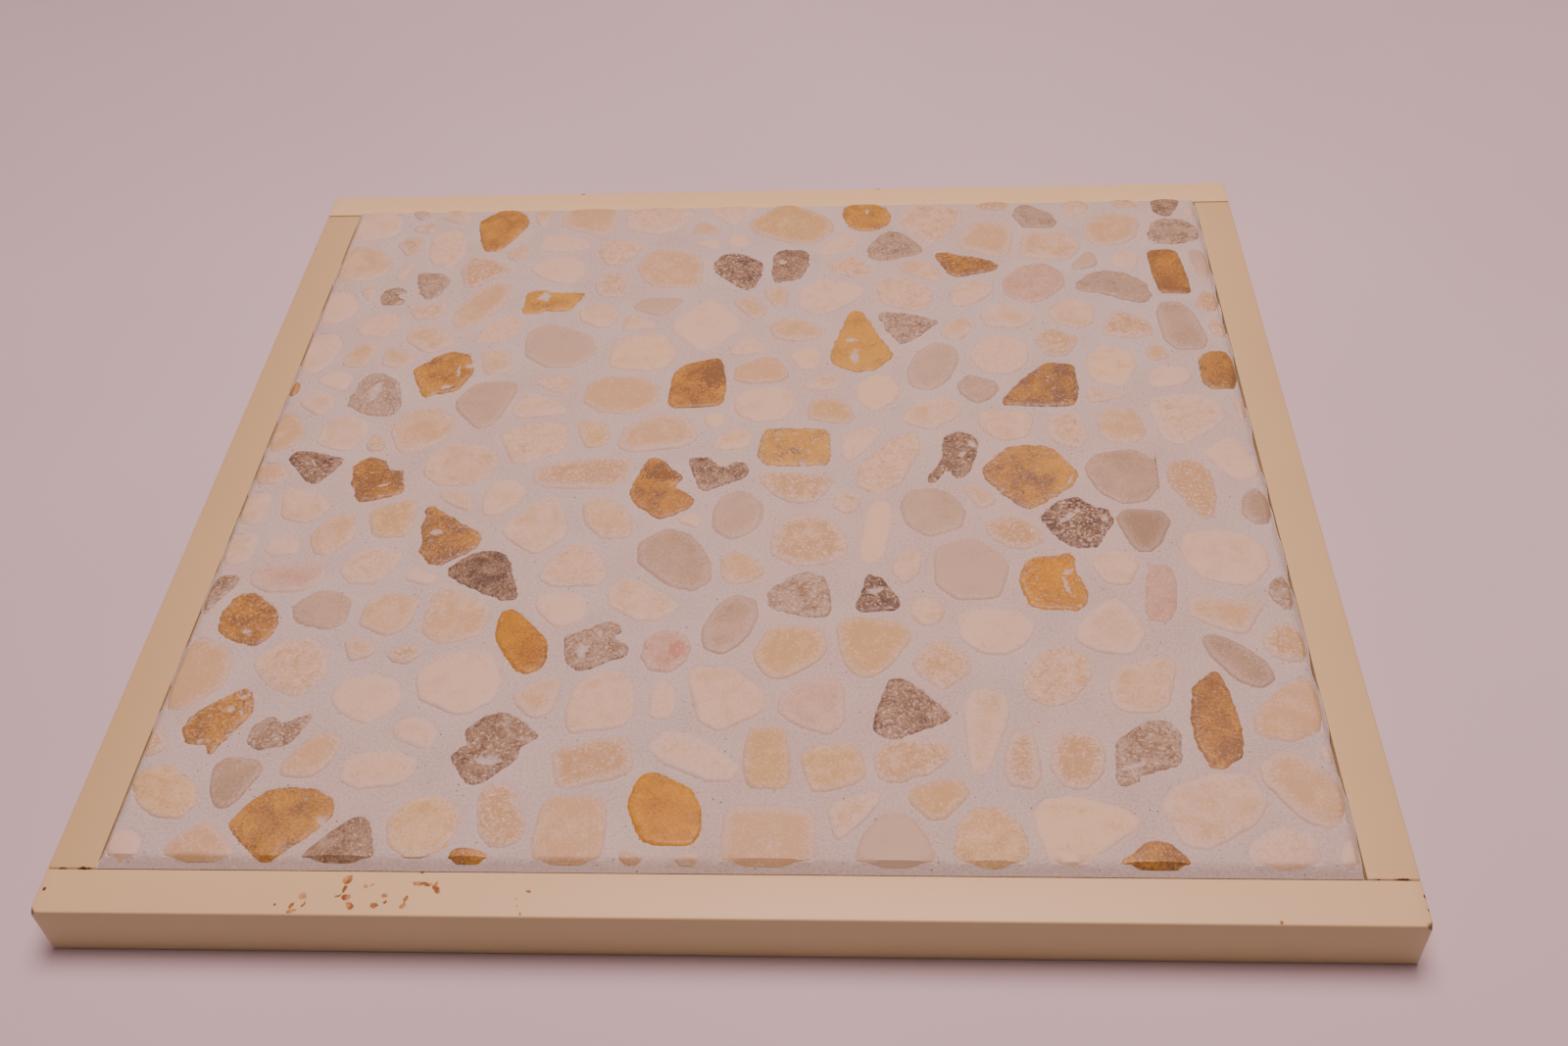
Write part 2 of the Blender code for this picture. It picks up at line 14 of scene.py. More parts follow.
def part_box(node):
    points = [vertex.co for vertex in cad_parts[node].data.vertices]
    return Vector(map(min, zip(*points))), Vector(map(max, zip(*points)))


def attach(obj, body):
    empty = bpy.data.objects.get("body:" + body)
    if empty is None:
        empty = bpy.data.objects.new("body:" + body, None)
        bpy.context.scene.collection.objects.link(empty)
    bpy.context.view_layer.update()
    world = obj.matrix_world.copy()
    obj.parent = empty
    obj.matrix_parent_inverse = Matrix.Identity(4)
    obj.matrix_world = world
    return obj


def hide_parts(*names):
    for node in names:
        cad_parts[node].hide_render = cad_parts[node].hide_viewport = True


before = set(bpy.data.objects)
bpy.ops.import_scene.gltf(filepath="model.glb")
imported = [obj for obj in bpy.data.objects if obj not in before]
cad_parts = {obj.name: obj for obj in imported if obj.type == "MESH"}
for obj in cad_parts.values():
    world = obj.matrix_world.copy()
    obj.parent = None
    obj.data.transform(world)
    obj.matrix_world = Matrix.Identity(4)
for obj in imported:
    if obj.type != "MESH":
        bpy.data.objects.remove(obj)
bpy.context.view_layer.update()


# The backing board. It closes the panel's back between the rails, flush with their underside. It is a
# bare sheet of hardboard, glued in before the bed is laid. It shows as the plain solid that it is.
MM = 0.001
FIBRE_CLUMP = 1.2  # mm, coarser than the real fibres of 0.1 mm so that it shows
FIBRE_HEIGHT = 0.05 * MM
BOARD_CLOUDS = 30  # mm


def linear(code):
    """An sRGB colour in hex as the linear values that a shader takes."""
    parts = [int(code[start : start + 2], 16) / 255 for start in (0, 2, 4)]
    return (*[part / 12.92 if part <= 0.04045 else ((part + 0.055) / 1.055) ** 2.4 for part in parts], 1)


def add(tree, kind, inputs=None, stops=(), **settings):
    """Adds one node with its settings. Each input, by name or number, is linked to a socket or to a node's
    first output, or takes a value. Stops are a colour ramp's places and colours."""
    made = tree.nodes.new("ShaderNode" + kind)
    for name, value in settings.items():
        setattr(made, name, value)
    for place, code in stops:
        used = made.color_ramp.elements
        if place == stops[0][0]:
            stop = used[0]
        elif place == stops[-1][0]:
            stop = used[-1]
        else:
            stop = used.new(place)
        stop.position = place
        stop.color = linear(code)
    shown = [socket for socket in made.inputs if socket.enabled]
    for key, value in (inputs or {}).items():
        if isinstance(key, int):
            socket = made.inputs[key]
        else:
            socket = next(socket for socket in shown if key in (socket.name, socket.identifier))
        if isinstance(value, bpy.types.Node):
            value = next(output for output in value.outputs if output.enabled)
        if isinstance(value, bpy.types.NodeSocket):
            tree.links.new(value, socket)
        else:
            socket.default_value = value
    return made


def new_material(name, roughness):
    """A material with only its plain shader, which keeps the IOR of 1.5 that paint and stone have, and the
    place of each point in millimetres."""
    material = bpy.data.materials.new(name)
    material.use_nodes = True
    tree = material.node_tree
    shader = tree.nodes["Principled BSDF"]
    shader.inputs["Roughness"].default_value = roughness
    place = add(tree, "TexCoord").outputs["Object"]
    return material, tree, shader, add(tree, "VectorMath", {0: place, "Scale": 1 / MM}, operation="SCALE")


# Hardboard: wood fibre pressed into a dense brown sheet. It looks matt, with short fibres every way.
hardboard, tree, shader, place = new_material("pressed hardboard", 0.75)
fibres = add(tree, "TexNoise", {"Vector": place, "Scale": 1 / FIBRE_CLUMP, "Detail": 4, "Distortion": 1.5})
clouds = add(tree, "TexNoise", {"Vector": place, "Scale": 1 / BOARD_CLOUDS, "Detail": 2})
mixed = add(tree, "Math", {0: fibres, 1: clouds}, operation="MULTIPLY")
tint = add(tree, "ValToRGB", {"Fac": mixed}, stops=((0.1, "5F4630"), (0.3, "7B5C3F"), (0.5, "957552")))
relief = add(tree, "Bump", {"Height": fibres, "Distance": FIBRE_HEIGHT, "Strength": 0.5})
tree.links.new(tint.outputs[0], shader.inputs["Base Color"])
tree.links.new(relief.outputs[0], shader.inputs["Normal"])
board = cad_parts["backing_board"]
board.data.materials.clear()
board.data.materials.append(hardboard)


# The four rails. They are square strips of planed wood, butted and glued at the corners, with the front
# and back rails running through, and painted before they were put together. Handling has rubbed the
# corners, and something stuck to the front rail has pulled off spots of paint.
SAME_PLACE = 0.02 * MM  # two points closer than this are one
RAIL_ROUND = 0.5 * MM
INNER_ROUND = 0.15 * MM  # where the bed's grout hides the edge
ROUND_STEPS = 3
RAIL_STEP = 2.5 * MM  # between the points along a rail
RAIL_WAVE = 0.06 * MM  # how far a planed side strays from flat
WAVE_LENGTH = 40 * MM
BRUISE = 1.5 * MM  # how much of the front rail's two outer corners is knocked off
SHARP_ANGLE = math.radians(38)  # an edge that turns more than this isn't shaded smooth


def make_piece(name, mesh, material, slot, *nodes):
    """A shown piece of a mesh: its finish, what it rides on and the solids that it stands for."""
    mesh.shade_smooth()
    mesh.set_sharp_from_angle(angle=SHARP_ANGLE)
    mesh.materials.append(material)
    piece = bpy.data.objects.new(name, mesh)
    bpy.context.scene.collection.objects.link(piece)
    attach(piece, "root")
    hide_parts(*nodes)


def rail_mesh(node):
    """A rail inside its solid's box, with softly rounded edges and slightly wavy sides. The front rail also
    has its two outer corners knocked off."""
    low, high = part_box(node)
    size = high - low
    body = bmesh.new()
    bmesh.ops.create_cube(body, size=1)
    bmesh.ops.scale(body, vec=size, verts=body.verts)
    centre = (low + high) / 2
    bmesh.ops.translate(body, vec=centre, verts=body.verts)
    longest = max(range(3), key=lambda axis: size[axis])
    across = 1 - longest
    inward = -1 if (low + high)[across] > 0 else 1
    face = (high if inward > 0 else low)[across]
    if node == "front_rail":
        corners = [v for v in body.verts if v.co.y < low.y + SAME_PLACE and v.co.z > high.z - SAME_PLACE]
        bmesh.ops.bevel(body, geom=corners, offset=BRUISE, segments=1, profile=0.5, affect="VERTICES")
    inner = [edge for edge in body.edges if all(abs(v.co[across] - face) < SAME_PLACE for v in edge.verts)]
    outer = [edge for edge in body.edges if edge not in inner]
    for edges, width in ((outer, RAIL_ROUND), (inner, INNER_ROUND)):
        kept = [edge for edge in edges if edge.is_valid]
        bmesh.ops.bevel(body, geom=kept, offset=width, segments=ROUND_STEPS, profile=0.5, affect="EDGES")
    along = []
    for edge in body.edges:
        first, last = edge.verts
        if abs(first.co[longest] - last.co[longest]) > size[longest] / 2:
            along.append(edge)
    bmesh.ops.subdivide_edges(body, edges=along, cuts=round(size[longest] / RAIL_STEP), use_grid_fill=True)
    for vertex in body.verts:
        wave = 0.5 + 0.5 * noise.noise(vertex.co / WAVE_LENGTH)
        away = vertex.co - centre
        away[longest] = 0
        vertex.co -= away.normalized() * RAIL_WAVE * wave
    mesh = bpy.data.meshes.new(node.replace("_rail", "_painted_rail"))
    body.to_mesh(mesh)
    body.free()
    return mesh


# Satin alkyd paint, sprayed cream on wood: an even low sheen with a faint orange peel. Where it is gone,
# brown primer and bare wood show, dull and lying slightly lower than the paint.
PAINT_ROUGHNESS = 0.42
BARE_ROUGHNESS = 0.8
PAINT_PEEL = 1.6  # mm
PEEL_HEIGHT = 0.04 * MM
PAINT_CLOUDS = 35  # mm
BARE_PATCH = 2.5  # mm
TORN_EDGE = 0.9  # mm, the size of the notches in the edge of a bare spot
TORN_STRAY = 1.3  # mm
MARK_REACH = 2  # mm, how far down from a rail's top its marks go
CHIPS = (  # each spot without paint on the front rail: its middle, length, width and turn, mm and degrees
    (-89.2, -144.6, 2.6, 2.3, 60),
    (-89.4, -147.2, 2.4, 0.9, 75),
    (-90.6, -149.1, 2.2, 0.6, 30),
    (-88.5, -149.4, 2.2, 1.8, 0),
    (-87.2, -151.8, 2.8, 1.7, -40),
    (-99.2, -149.4, 2.1, 2.0, 0),
    (-98.4, -151.6, 1.7, 0.7, 70),
    (-105.4, -151.6, 0.9, 0.8, 0),
    (-101.2, -151.9, 2.0, 1.0, 60),
    (-100.8, -153.4, 2.8, 1.1, 10),
    (-84.4, -146.4, 1.1, 1.0, 0),
    (-82.9, -146.0, 1.2, 0.9, 60),
    (-79.3, -149.0, 2.0, 1.0, 10),
    (-78.8, -150.7, 1.2, 1.0, 80),
    (-81.3, -151.6, 2.0, 1.5, 20),
    (-73.9, -149.9, 1.8, 1.1, 70),
    (-74.4, -151.7, 2.2, 1.4, 50),
    (-72.0, -145.5, 2.4, 1.3, 0),
    (-69.8, -145.6, 2.8, 1.1, -10),
    (-67.6, -146.0, 2.6, 1.3, 80),
    (-66.8, -147.3, 2.4, 1.2, -60),
    (-71.3, -142.3, 1.0, 0.9, 0),
    (-44.6, -147.5, 1.5, 0.7, 0),
    (-47.4, -149.6, 0.5, 0.5, 0),
    (-46.9, -151.4, 0.5, 0.4, 0),
    (-45.7, -153.6, 0.9, 0.4, -60),
    (131.0, -153.6, 0.9, 0.7, 0),
)
RUBBED = (  # the same of each dark mark: rubbed corners, and glue and dirt in the joints of the rails
    (-165, -154.5, 4.2, 4.2, 0),
    (165, -154.5, 4.6, 4.6, 0),
    (-163.5, -148, 1.6, 1.6, 0),
    (-71, 154.5, 3.2, 3.2, 0),
    (39, 154.5, 2.8, 2.8, 0),
    (-165, 121, 2, 2, 0),
    (165, -146.5, 2, 2, 0),
    (165, -150, 1.6, 1.6, 0),
    (-155.5, -142, 7, 1.1, 0),
    (-161, -142, 6, 0.7, 0),
    (161, -142, 7, 1.1, 0),
    (156, -142, 6, 0.6, 0),
)


def nearest_oval(tree, place, ovals, height):
    """How far a place is from the nearest of some flat ovals at a height in mm: 0 in its middle, 1 on its
    edge."""
    least = None
    for x, y, length, width, turn in ovals:
        placing = {"Location": (x, y, height), "Rotation": (0, 0, math.radians(turn))}
        placing["Scale"] = (length / 2, width / 2, MARK_REACH)
        gap = add(tree, "Mapping", {"Vector": place, **placing}, vector_type="TEXTURE")
        gap = add(tree, "VectorMath", {0: gap}, operation="LENGTH").outputs["Value"]
        if least is not None:
            gap = add(tree, "Math", {0: least, 1: gap}, operation="MINIMUM").outputs[0]
        least = gap
    return least


paint, tree, shader, place = new_material("satin cream paint on wood", PAINT_ROUGHNESS)
notches = add(tree, "TexNoise", {"Vector": place, "Scale": 1 / TORN_EDGE, "Detail": 3})
uneven = add(tree, "VectorMath", {0: notches.outputs["Color"], 1: (0.5, 0.5, 0.5)}, operation="SUBTRACT")
uneven = add(tree, "VectorMath", {0: uneven, "Scale": TORN_STRAY}, operation="SCALE")
torn = add(tree, "VectorMath", {0: place, 1: uneven}, operation="ADD")
rail_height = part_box("front_rail")[1].z / MM
bare, rubbed = [nearest_oval(tree, torn, ovals, rail_height) for ovals in (CHIPS, RUBBED)]
clouds = add(tree, "TexNoise", {"Vector": place, "Scale": 1 / PAINT_CLOUDS, "Detail": 3})
# Painted sheen: each rail's colour is made lighter by its own amount, the back rail most, standing in for the
# bright room reflected in its satin paint; faint clouds of paint tone are added on top.
painted_sheen = add(tree, "Attribute", attribute_name="painted_sheen").outputs["Fac"]
painted_sheen = add(tree, "Math", {0: clouds, 1: 0.3, 2: painted_sheen}, operation="MULTIPLY_ADD")
skin = add(tree, "ValToRGB", {"Fac": painted_sheen}, stops=((0.15, "CBC090"), (1.0, "E4DAAB")))
peel = add(tree, "TexNoise", {"Vector": place, "Scale": 1 / PAINT_PEEL, "Detail": 2})
grain = add(tree, "TexNoise", {"Vector": place, "Scale": 1 / BARE_PATCH, "Detail": 4})
wood = add(tree, "ValToRGB", {"Fac": grain}, stops=((0.4, "8A6030"), (0.6, "C4A26C")))
chipped = add(tree, "MapRange", {"Value": bare, "From Min": 1.05, "From Max": 0.85})
coat = add(tree, "Mix", {"Factor": chipped, "A": skin, "B": wood}, data_type="RGBA")
dirty = add(tree, "MapRange", {"Value": rubbed, "From Min": 0.75, "From Max": 0.45})
coat = add(tree, "Mix", {"Factor": dirty, "A": coat, "B": linear("5A3F28")}, data_type="RGBA")
depth = add(tree, "Math", {0: chipped, 1: -2, 2: peel}, operation="MULTIPLY_ADD")
dull = add(tree, "MapRange", {"Value": chipped, "To Min": PAINT_ROUGHNESS, "To Max": BARE_ROUGHNESS})
relief = add(tree, "Bump", {"Height": depth, "Distance": PEEL_HEIGHT, "Strength": 0.45})
tree.links.new(coat.outputs[2], shader.inputs["Base Color"])
tree.links.new(dull.outputs[0], shader.inputs["Roughness"])
tree.links.new(relief.outputs[0], shader.inputs["Normal"])
RAIL_PAINTED_SHEEN = {"front": 0.4, "back": 0.85, "left": 0, "right": 0.15}  # how much lighter each rail's paint is made: a painted sheen, standing in for the bright room reflected in it
for side in RAIL_PAINTED_SHEEN:
    mesh = rail_mesh(f"{side}_rail")
    layer = mesh.attributes.new("painted_sheen", "FLOAT", "POINT")
    layer.data.foreach_set("value", [RAIL_PAINTED_SHEEN[side]] * len(mesh.vertices))
    make_piece(f"{side}_painted_rail", mesh, paint, "rail_paint", f"{side}_rail")


# The stones. Each is a chip of marble, limestone or travertine some 8 mm thick, tumbled until its edges
# are round, and set flat. The sheet was sawn square before it was framed, so stones along the rails have
# one straight upright side. Their plain solids give the place and the corners of every one.
WORN_WIDTH = 2.0 * MM  # how far in from its side a stone's top is worn
WORN_SPREAD = (0.75, 1.15)  # the least and the most share of that
MOST_WORN = 0.5  # the most share of a small stone's radius that is worn
WORN_DROP = 1.7 * MM  # how far down its edge is worn
SMALL_RADIUS = 5 * MM  # the edge of a stone smaller than this drops less
HIDDEN_EDGE = 1.1 * MM  # how far a stone spreads under the grout, past the outline that shows
SAWN_ARCH = 2.4 * MM  # how far the top falls at both ends of a sawn side
SHORTEST_ARCH = 6 * MM  # a shorter sawn side stays straight
ARCH_DEPTH = 2.2 * MM
ARCH_POWER = 3.5  # how late along the sawn side the fall sets in
SAWN_SLOPE = (1.5 * MM, 1.3 * MM)  # how deep and how wide the slope is that runs along a sawn side
STONE_DEPTH = 6.5 * MM  # from a stone's top to its foot in the grout
CROWN = 0.2 * MM  # how far its top falls from the middle to the side
CROWN_END = 1.5  # the square of how far out, in radii of the stone, it stops to fall
MOST_TILT = 0.008  # the most that its top slopes
MOST_SINK = 0.15  # mm
HOLLOW_DEPTH = 0.35 * MM
HOLLOW_EDGE = 0.4  # the share of a hollow's radius over which it deepens
CORNER_SHARES = (0.12, 0.25, 0.25)  # the share of each side that every rounding takes off at a corner
EDGE_STEPS = (0.06, 0.18, 0.38, 0.68, 1)  # shares of the worn width
FEWEST_POINTS = 20
WELD = 1e-5  # mm, points drawn closer than this are one
RING_ROOM = 0.8  # a ring's points nearer to the side than this share of its own distance are left out
GRID_SPACING = 1.25  # times the spacing of the outline
GRID_ROOM = 0.4  # how much of its pitch the grid stays inside the worn edge
WIDE_WOBBLE = 5 * MM  # the length of an outline's large waves
FINE_WOBBLE = 1.7 * MM
FULL_WOBBLE = 14 * MM  # a stone narrower than this strays less
ROW_PITCH = 0.87  # what makes a grid's triangles equal-sided
WIDE_BUMPS = 2.6 * MM  # the width of the shallow bumps on a stone's top
FINE_BUMPS = 1.1 * MM
SAME_STONE = 2 * MM  # two outlines with their middles closer than this are of one stone
PATTERN_SHIFT = 400  # mm, how far a stone's pattern is moved at most, so that no two look alike
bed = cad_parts["grout_bed_with_pale_stones"]
bed_low, bed_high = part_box("grout_bed_with_pale_stones")
stone_top = bed_high.z


def outlines_at(node, height):
    """The outlines of a solid's level faces at a height, each anticlockwise."""
    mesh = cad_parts[node].data
    places = np.array([tuple(vertex.co) for vertex in mesh.vertices])
    _, first, same = np.unique(np.round(places / SAME_PLACE), axis=0, return_index=True, return_inverse=True)
    same = same.ravel()
    edges = set()
    for face in mesh.polygons:
        corners = [int(same[index]) for index in face.vertices]
        if all(abs(places[first[corner]][2] - height) < SAME_PLACE for corner in corners):
            edges |= set(zip(corners, corners[1:] + corners[:1]))
    following = {a: b for a, b in edges if (b, a) not in edges}
    outlines = []
    while following:
        start, here = following.popitem()
        loop = [start]
        while here != start:
            loop.append(here)
            here = following.pop(here)
        outline = places[first[loop]][:, :2]
        outlines.append(outline if area(outline) > 0 else outline[::-1])
    return outlines


def area(outline):
    """An outline's area, more than nothing where it runs anticlockwise."""
    x, y = outline.T
    return float(x @ np.roll(y, -1) - y @ np.roll(x, -1)) / 2


def middle(outline):
    """The centre of gravity of what an outline encloses."""
    following = np.roll(outline, -1, axis=0)
    cross = outline[:, 0] * following[:, 1] - outline[:, 1] * following[:, 0]
    return ((outline + following) * cross[:, None]).sum(axis=0) / (3 * cross.sum())


# The grout's top face has a hole for each stone. The largest outline is that of the bed itself, and the
# holes of the stones with nodes of their own are left out of the pale ones.
edge_heights = [v.co.z for v in bed.data.vertices if abs(v.co.x - bed_low.x) < SAME_PLACE]
found = outlines_at("grout_bed_with_pale_stones", max(edge_heights))
found = sorted(found, key=area)[:-1]
own = {name: outlines_at(name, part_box(name)[0].z)[0] for name in sorted(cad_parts) if "_stone_" in name}
own_middles = np.array([middle(outline) for outline in own.values()])
pale = [
    outline
    for outline in sorted(found, key=lambda outline: tuple(middle(outline)))
    if np.linalg.norm(own_middles - middle(outline), axis=1).min() > SAME_STONE
]
saw_line = np.abs(np.vstack(list(own.values()))).max(axis=0)


def nearest_line(points, starts, ends):
    """Each point's distance to the nearest of some straight lines."""
    spans = ends - starts
    gaps = points[:, None] - starts
    share = np.clip((gaps * spans).sum(axis=2) / (spans**2).sum(axis=1), 0, 1)
    return np.linalg.norm(gaps - share[..., None] * spans, axis=2).min(axis=1)


def depth_inside(points, outline):
    """How deep each point lies inside an outline, less than nothing outside it."""
    nexts = np.roll(outline, -1, axis=0)
    y = points[:, 1, None]
    level = (outline[:, 1] > y) != (nexts[:, 1] > y)
    fall = nexts[:, 1] - outline[:, 1]
    slope = (nexts[:, 0] - outline[:, 0]) / np.where(fall == 0, 1, fall)
    crossings = (level & (points[:, 0, None] < outline[:, 0] + slope * (y - outline[:, 1]))).sum(axis=1)
    return nearest_line(points, outline, nexts) * np.where(crossings % 2 == 1, 1, -1)


def outward_from(outline):
    """The direction straight out of an anticlockwise outline at each of its points."""
    run = np.roll(outline, -1, axis=0) - np.roll(outline, 1, axis=0)
    return np.stack([run[:, 1], -run[:, 0]], axis=1) / np.linalg.norm(run, axis=1)[:, None]


def noise_at(points, size, seed):
    """Smooth noise from -1 to 1 at each point, with lumps of a size in metres."""
    shift = Vector((seed, 3.7 * seed, 1.3 * seed))
    return np.array([noise.noise(Vector(point) / size + shift) for point in points])


def worn_outline(corners, spacing, wobble, seed):
    """A stone's outline: its solid's corners worn round and drawn with even points, but straight and sharp
    along the saw line. Also the points that keep the stone's own worn side."""
    fixed = (np.abs(corners) > saw_line - SAME_PLACE).any(axis=1)
    for share in CORNER_SHARES:
        nexts, next_fixed = np.roll(corners, -1, axis=0), np.roll(fixed, -1)
        near = np.where(fixed[:, None], corners, corners + (nexts - corners) * share)
        far = np.where(next_fixed[:, None], nexts, nexts + (corners - nexts) * share)
        corners = np.stack([near, far], axis=1).reshape(-1, 2)
        fixed = np.stack([fixed, next_fixed], axis=1).ravel()
        apart = np.linalg.norm(corners - np.roll(corners, 1, axis=0), axis=1) > SAME_PLACE / 10
        corners, fixed = corners[apart], fixed[apart]
    lengths = np.linalg.norm(np.roll(corners, -1, axis=0) - corners, axis=1)
    walked = np.concatenate([[0], np.cumsum(lengths)])
    count = max(FEWEST_POINTS, round(walked[-1] / spacing))
    stops = np.arange(count) / count * walked[-1]
    closed = np.vstack([corners, corners[:1]])
    points = np.stack([np.interp(stops, walked, closed[:, axis]) for axis in (0, 1)], axis=1)
    for corner in corners[fixed]:
        points[np.argmin(np.linalg.norm(points - corner, axis=1))] = corner
    sawn = (np.abs(points) > saw_line - SAME_PLACE).any(axis=1)
    room = min(1, math.sqrt(area(corners)) / FULL_WOBBLE)
    flat = np.column_stack([points, np.zeros(count)])
    stray = noise_at(flat, WIDE_WOBBLE, seed) * 0.5 + noise_at(flat, FINE_WOBBLE, seed + 5) * 0.5
    moved = points + outward_from(points) * (HIDDEN_EDGE + stray * wobble * room)[:, None]
    points = np.clip(np.where(sawn[:, None], points, moved), -saw_line, saw_line)
    return points, ~sawn


def in_ovals(points, ovals):
    """How far inside any of some ovals each point is: 1 at a middle, 0 on the edge, -1 well outside."""
    inside = np.full(len(points), -1.0)
    for x, y, length, width, turn in ovals:
        cosine, sine = math.cos(math.radians(turn)), math.sin(math.radians(turn))
        gap = points / MM - (x, y)
        lengthwise = (cosine * gap[:, 0] + sine * gap[:, 1]) / length * 2
        crosswise = (cosine * gap[:, 1] - sine * gap[:, 0]) / width * 2
        inside = np.maximum(inside, 1 - np.hypot(lengthwise, crosswise))
    return inside


def stone_shape(corners, chance, spacing, wobble, relief, hollows=(), burnt=()):
    """One stone as points and faces, with the values that its material reads: how far each point is from
    the worn side, and how far inside a hollow that the grout has filled and a patch of deeper colour."""
    seed = chance.uniform(0, 90)
    outline, worn = worn_outline(corners, spacing, wobble, seed)
    centre, count = middle(outline), len(outline)
    size = math.sqrt(area(outline) / math.pi)
    width = min(WORN_WIDTH * chance.uniform(*WORN_SPREAD), size * MOST_WORN)
    outward = outward_from(outline)
    inner = [outline - outward * width * step for step in EDGE_STEPS]
    for number, step in enumerate(EDGE_STEPS):
        far_enough = depth_inside(inner[number], outline) > width * step * RING_ROOM
        inner[number] = inner[number][far_enough]
    low, high = outline.min(axis=0), outline.max(axis=0)
    pitch = spacing * GRID_SPACING
    rows = np.arange(low[1], high[1], pitch * ROW_PITCH)
    grid_x, grid_y = np.meshgrid(np.arange(low[0], high[0], pitch), rows)
    grid_x[1::2] += pitch / 2
    grid = np.stack([grid_x.ravel(), grid_y.ravel()], axis=1)
    grid = grid[depth_inside(grid, outline) > width + pitch * GRID_ROOM]
    drawn = [Vector(point) for point in np.vstack([outline, *inner, grid]) / MM]
    flat, _, triangles, sources, _, _ = delaunay_2d_cdt(drawn, [], [list(range(count))], 1, WELD)
    flat = np.array([tuple(point) for point in flat]) * MM
    ring = np.full(count, -1)
    for number, source in enumerate(sources):
        ring[[index for index in source if index < count]] = number
    keeps = worn & np.roll(worn, -1) if worn.any() else ~worn
    rim = nearest_line(flat, outline[keeps], np.roll(outline, -1, axis=0)[keeps])
    drop = WORN_DROP * min(1, size / SMALL_RADIUS) * (1 - np.clip(rim / width, 0, 1)) ** 2
    tilt = np.array([chance.uniform(-MOST_TILT, MOST_TILT) for _ in range(2)])
    sink = chance.uniform(0, MOST_SINK) * MM + np.abs(tilt).sum() * size * 0.5
    spread = ((flat - centre) ** 2).sum(axis=1) / size**2
    height = stone_top - sink + (flat - centre) @ tilt - drop - CROWN * np.minimum(spread, CROWN_END)
    for axis in (0, 1):
        for edge in (-saw_line[axis], saw_line[axis]):
            on_edge = np.abs(outline[:, axis] - edge) < SAME_PLACE
            along, inward = outline[on_edge, 1 - axis], np.abs(flat[:, axis] - edge)
            if on_edge.sum() > 1:
                height -= SAWN_SLOPE[0] * (1 - np.clip(inward / SAWN_SLOPE[1], 0, 1))
            if on_edge.sum() > 1 and np.ptp(along) > SHORTEST_ARCH:
                off = np.abs(flat[:, 1 - axis] - (along.min() + along.max()) / 2) / (np.ptp(along) / 2)
                height -= SAWN_ARCH * np.minimum(off, 1) ** ARCH_POWER * np.exp(-inward / ARCH_DEPTH)
    solid = np.column_stack([flat, np.zeros(len(flat))])
    rough = 0.5 + 0.3 * noise_at(solid, WIDE_BUMPS, seed) + 0.2 * noise_at(solid, FINE_BUMPS, seed)
    height -= relief * rough * np.clip(rim / width, 0, 1)
    filled = in_ovals(flat, hollows)
    height -= HOLLOW_DEPTH * np.clip(filled / HOLLOW_EDGE, 0, 1)
    foot = np.column_stack([outline, np.full(count, stone_top - STONE_DEPTH)])
    index = len(flat) + np.arange(count)
    faces = [tuple(index[::-1])] + list(zip(index, np.roll(index, -1), np.roll(ring, -1), ring))
    for a, b, c in triangles:
        first, second = flat[b] - flat[a], flat[c] - flat[a]
        faces.append((a, b, c) if first[0] * second[1] > first[1] * second[0] else (a, c, b))
    values = {"rim": (rim - HIDDEN_EDGE) / MM, "fill": filled, "burnt": in_ovals(flat, burnt)}
    values = {key: np.concatenate([part, part[ring]]) for key, part in values.items()}
    return np.vstack([np.column_stack([flat, height]), foot]), faces, values


def stones_mesh(name, stones):
    """One mesh of several stones. Each comes as its shape and its look: its tone, and how much it has of
    dark specks, of filled pits and of haze."""
    mesh = bpy.data.meshes.new(name)
    values = {key: [] for key in ("rim", "fill", "burnt", "patch", "look", "haze")}
    points, faces = [], []
    chance = random.Random(name)
    start = 0
    for (places, sides, kept), look in stones:
        points.append(places)
        faces += [tuple(int(corner) + start for corner in side) for side in sides]
        start += len(places)
        for key, part in kept.items():
            values[key].append(part)
        patch = [chance.uniform(-PATTERN_SHIFT, PATTERN_SHIFT) for _ in range(3)]
        values["patch"].append(np.tile(patch, (len(places), 1)))
        values["look"].append(np.tile(look[:3], (len(places), 1)))
        values["haze"].append(np.full(len(places), look[3]))
    mesh.from_pydata(np.vstack(points).tolist(), [], faces)
    for key, parts in values.items():
        kind, field = ("FLOAT_VECTOR", "vector") if parts[0].ndim == 2 else ("FLOAT", "value")
        layer = mesh.attributes.new(key, kind, "POINT")
        layer.data.foreach_set(field, np.concatenate(parts).astype(np.float32).ravel())
    return mesh


# The grout: white cement and fine sand, floated over the stones and wiped with a sponge, so that it lies
# a little under their tops, dips between them and falls away to the rails. A haze of it is left on them.
GROUT_STEP = 1.0 * MM  # between the points of its top
GROUT_UNDER = 0.8 * MM  # under the stones' tops, where it meets them
GROUT_DIP = 0.06 * MM  # how much lower it lies between them
DIP_WIDTH = 1.1 * MM
GROUT_AT_RAIL = 0.25 * MM  # above the rails' tops
GROUT_REACH = 0.22 * MM  # how far it spreads into the hairline gap at the rails
REACH_LENGTH = 7 * MM  # over what length that changes along the side rails
RAIL_SLOPE = (0.2 * MM, 3.2 * MM)  # where the fall to the rails ends and starts
CRUMBLED = (0.35 * MM, 0.8 * MM)  # how far from the side rails the grout has crumbled away in places
CRUMBLED_DEPTH = 2.2 * MM
CRUMBLED_LENGTH = 14 * MM
CRUMBLED_OFTEN = (3, 0.3)  # how sharply the crumbled places end, and how much of the edge they take
WIDE_SWELL = (9 * MM, 0.04)  # the width of the grout's slow swells, and their height in mm
SPONGE_MARKS = (2.2 * MM, 0.06)  # the same of the marks of the sponge
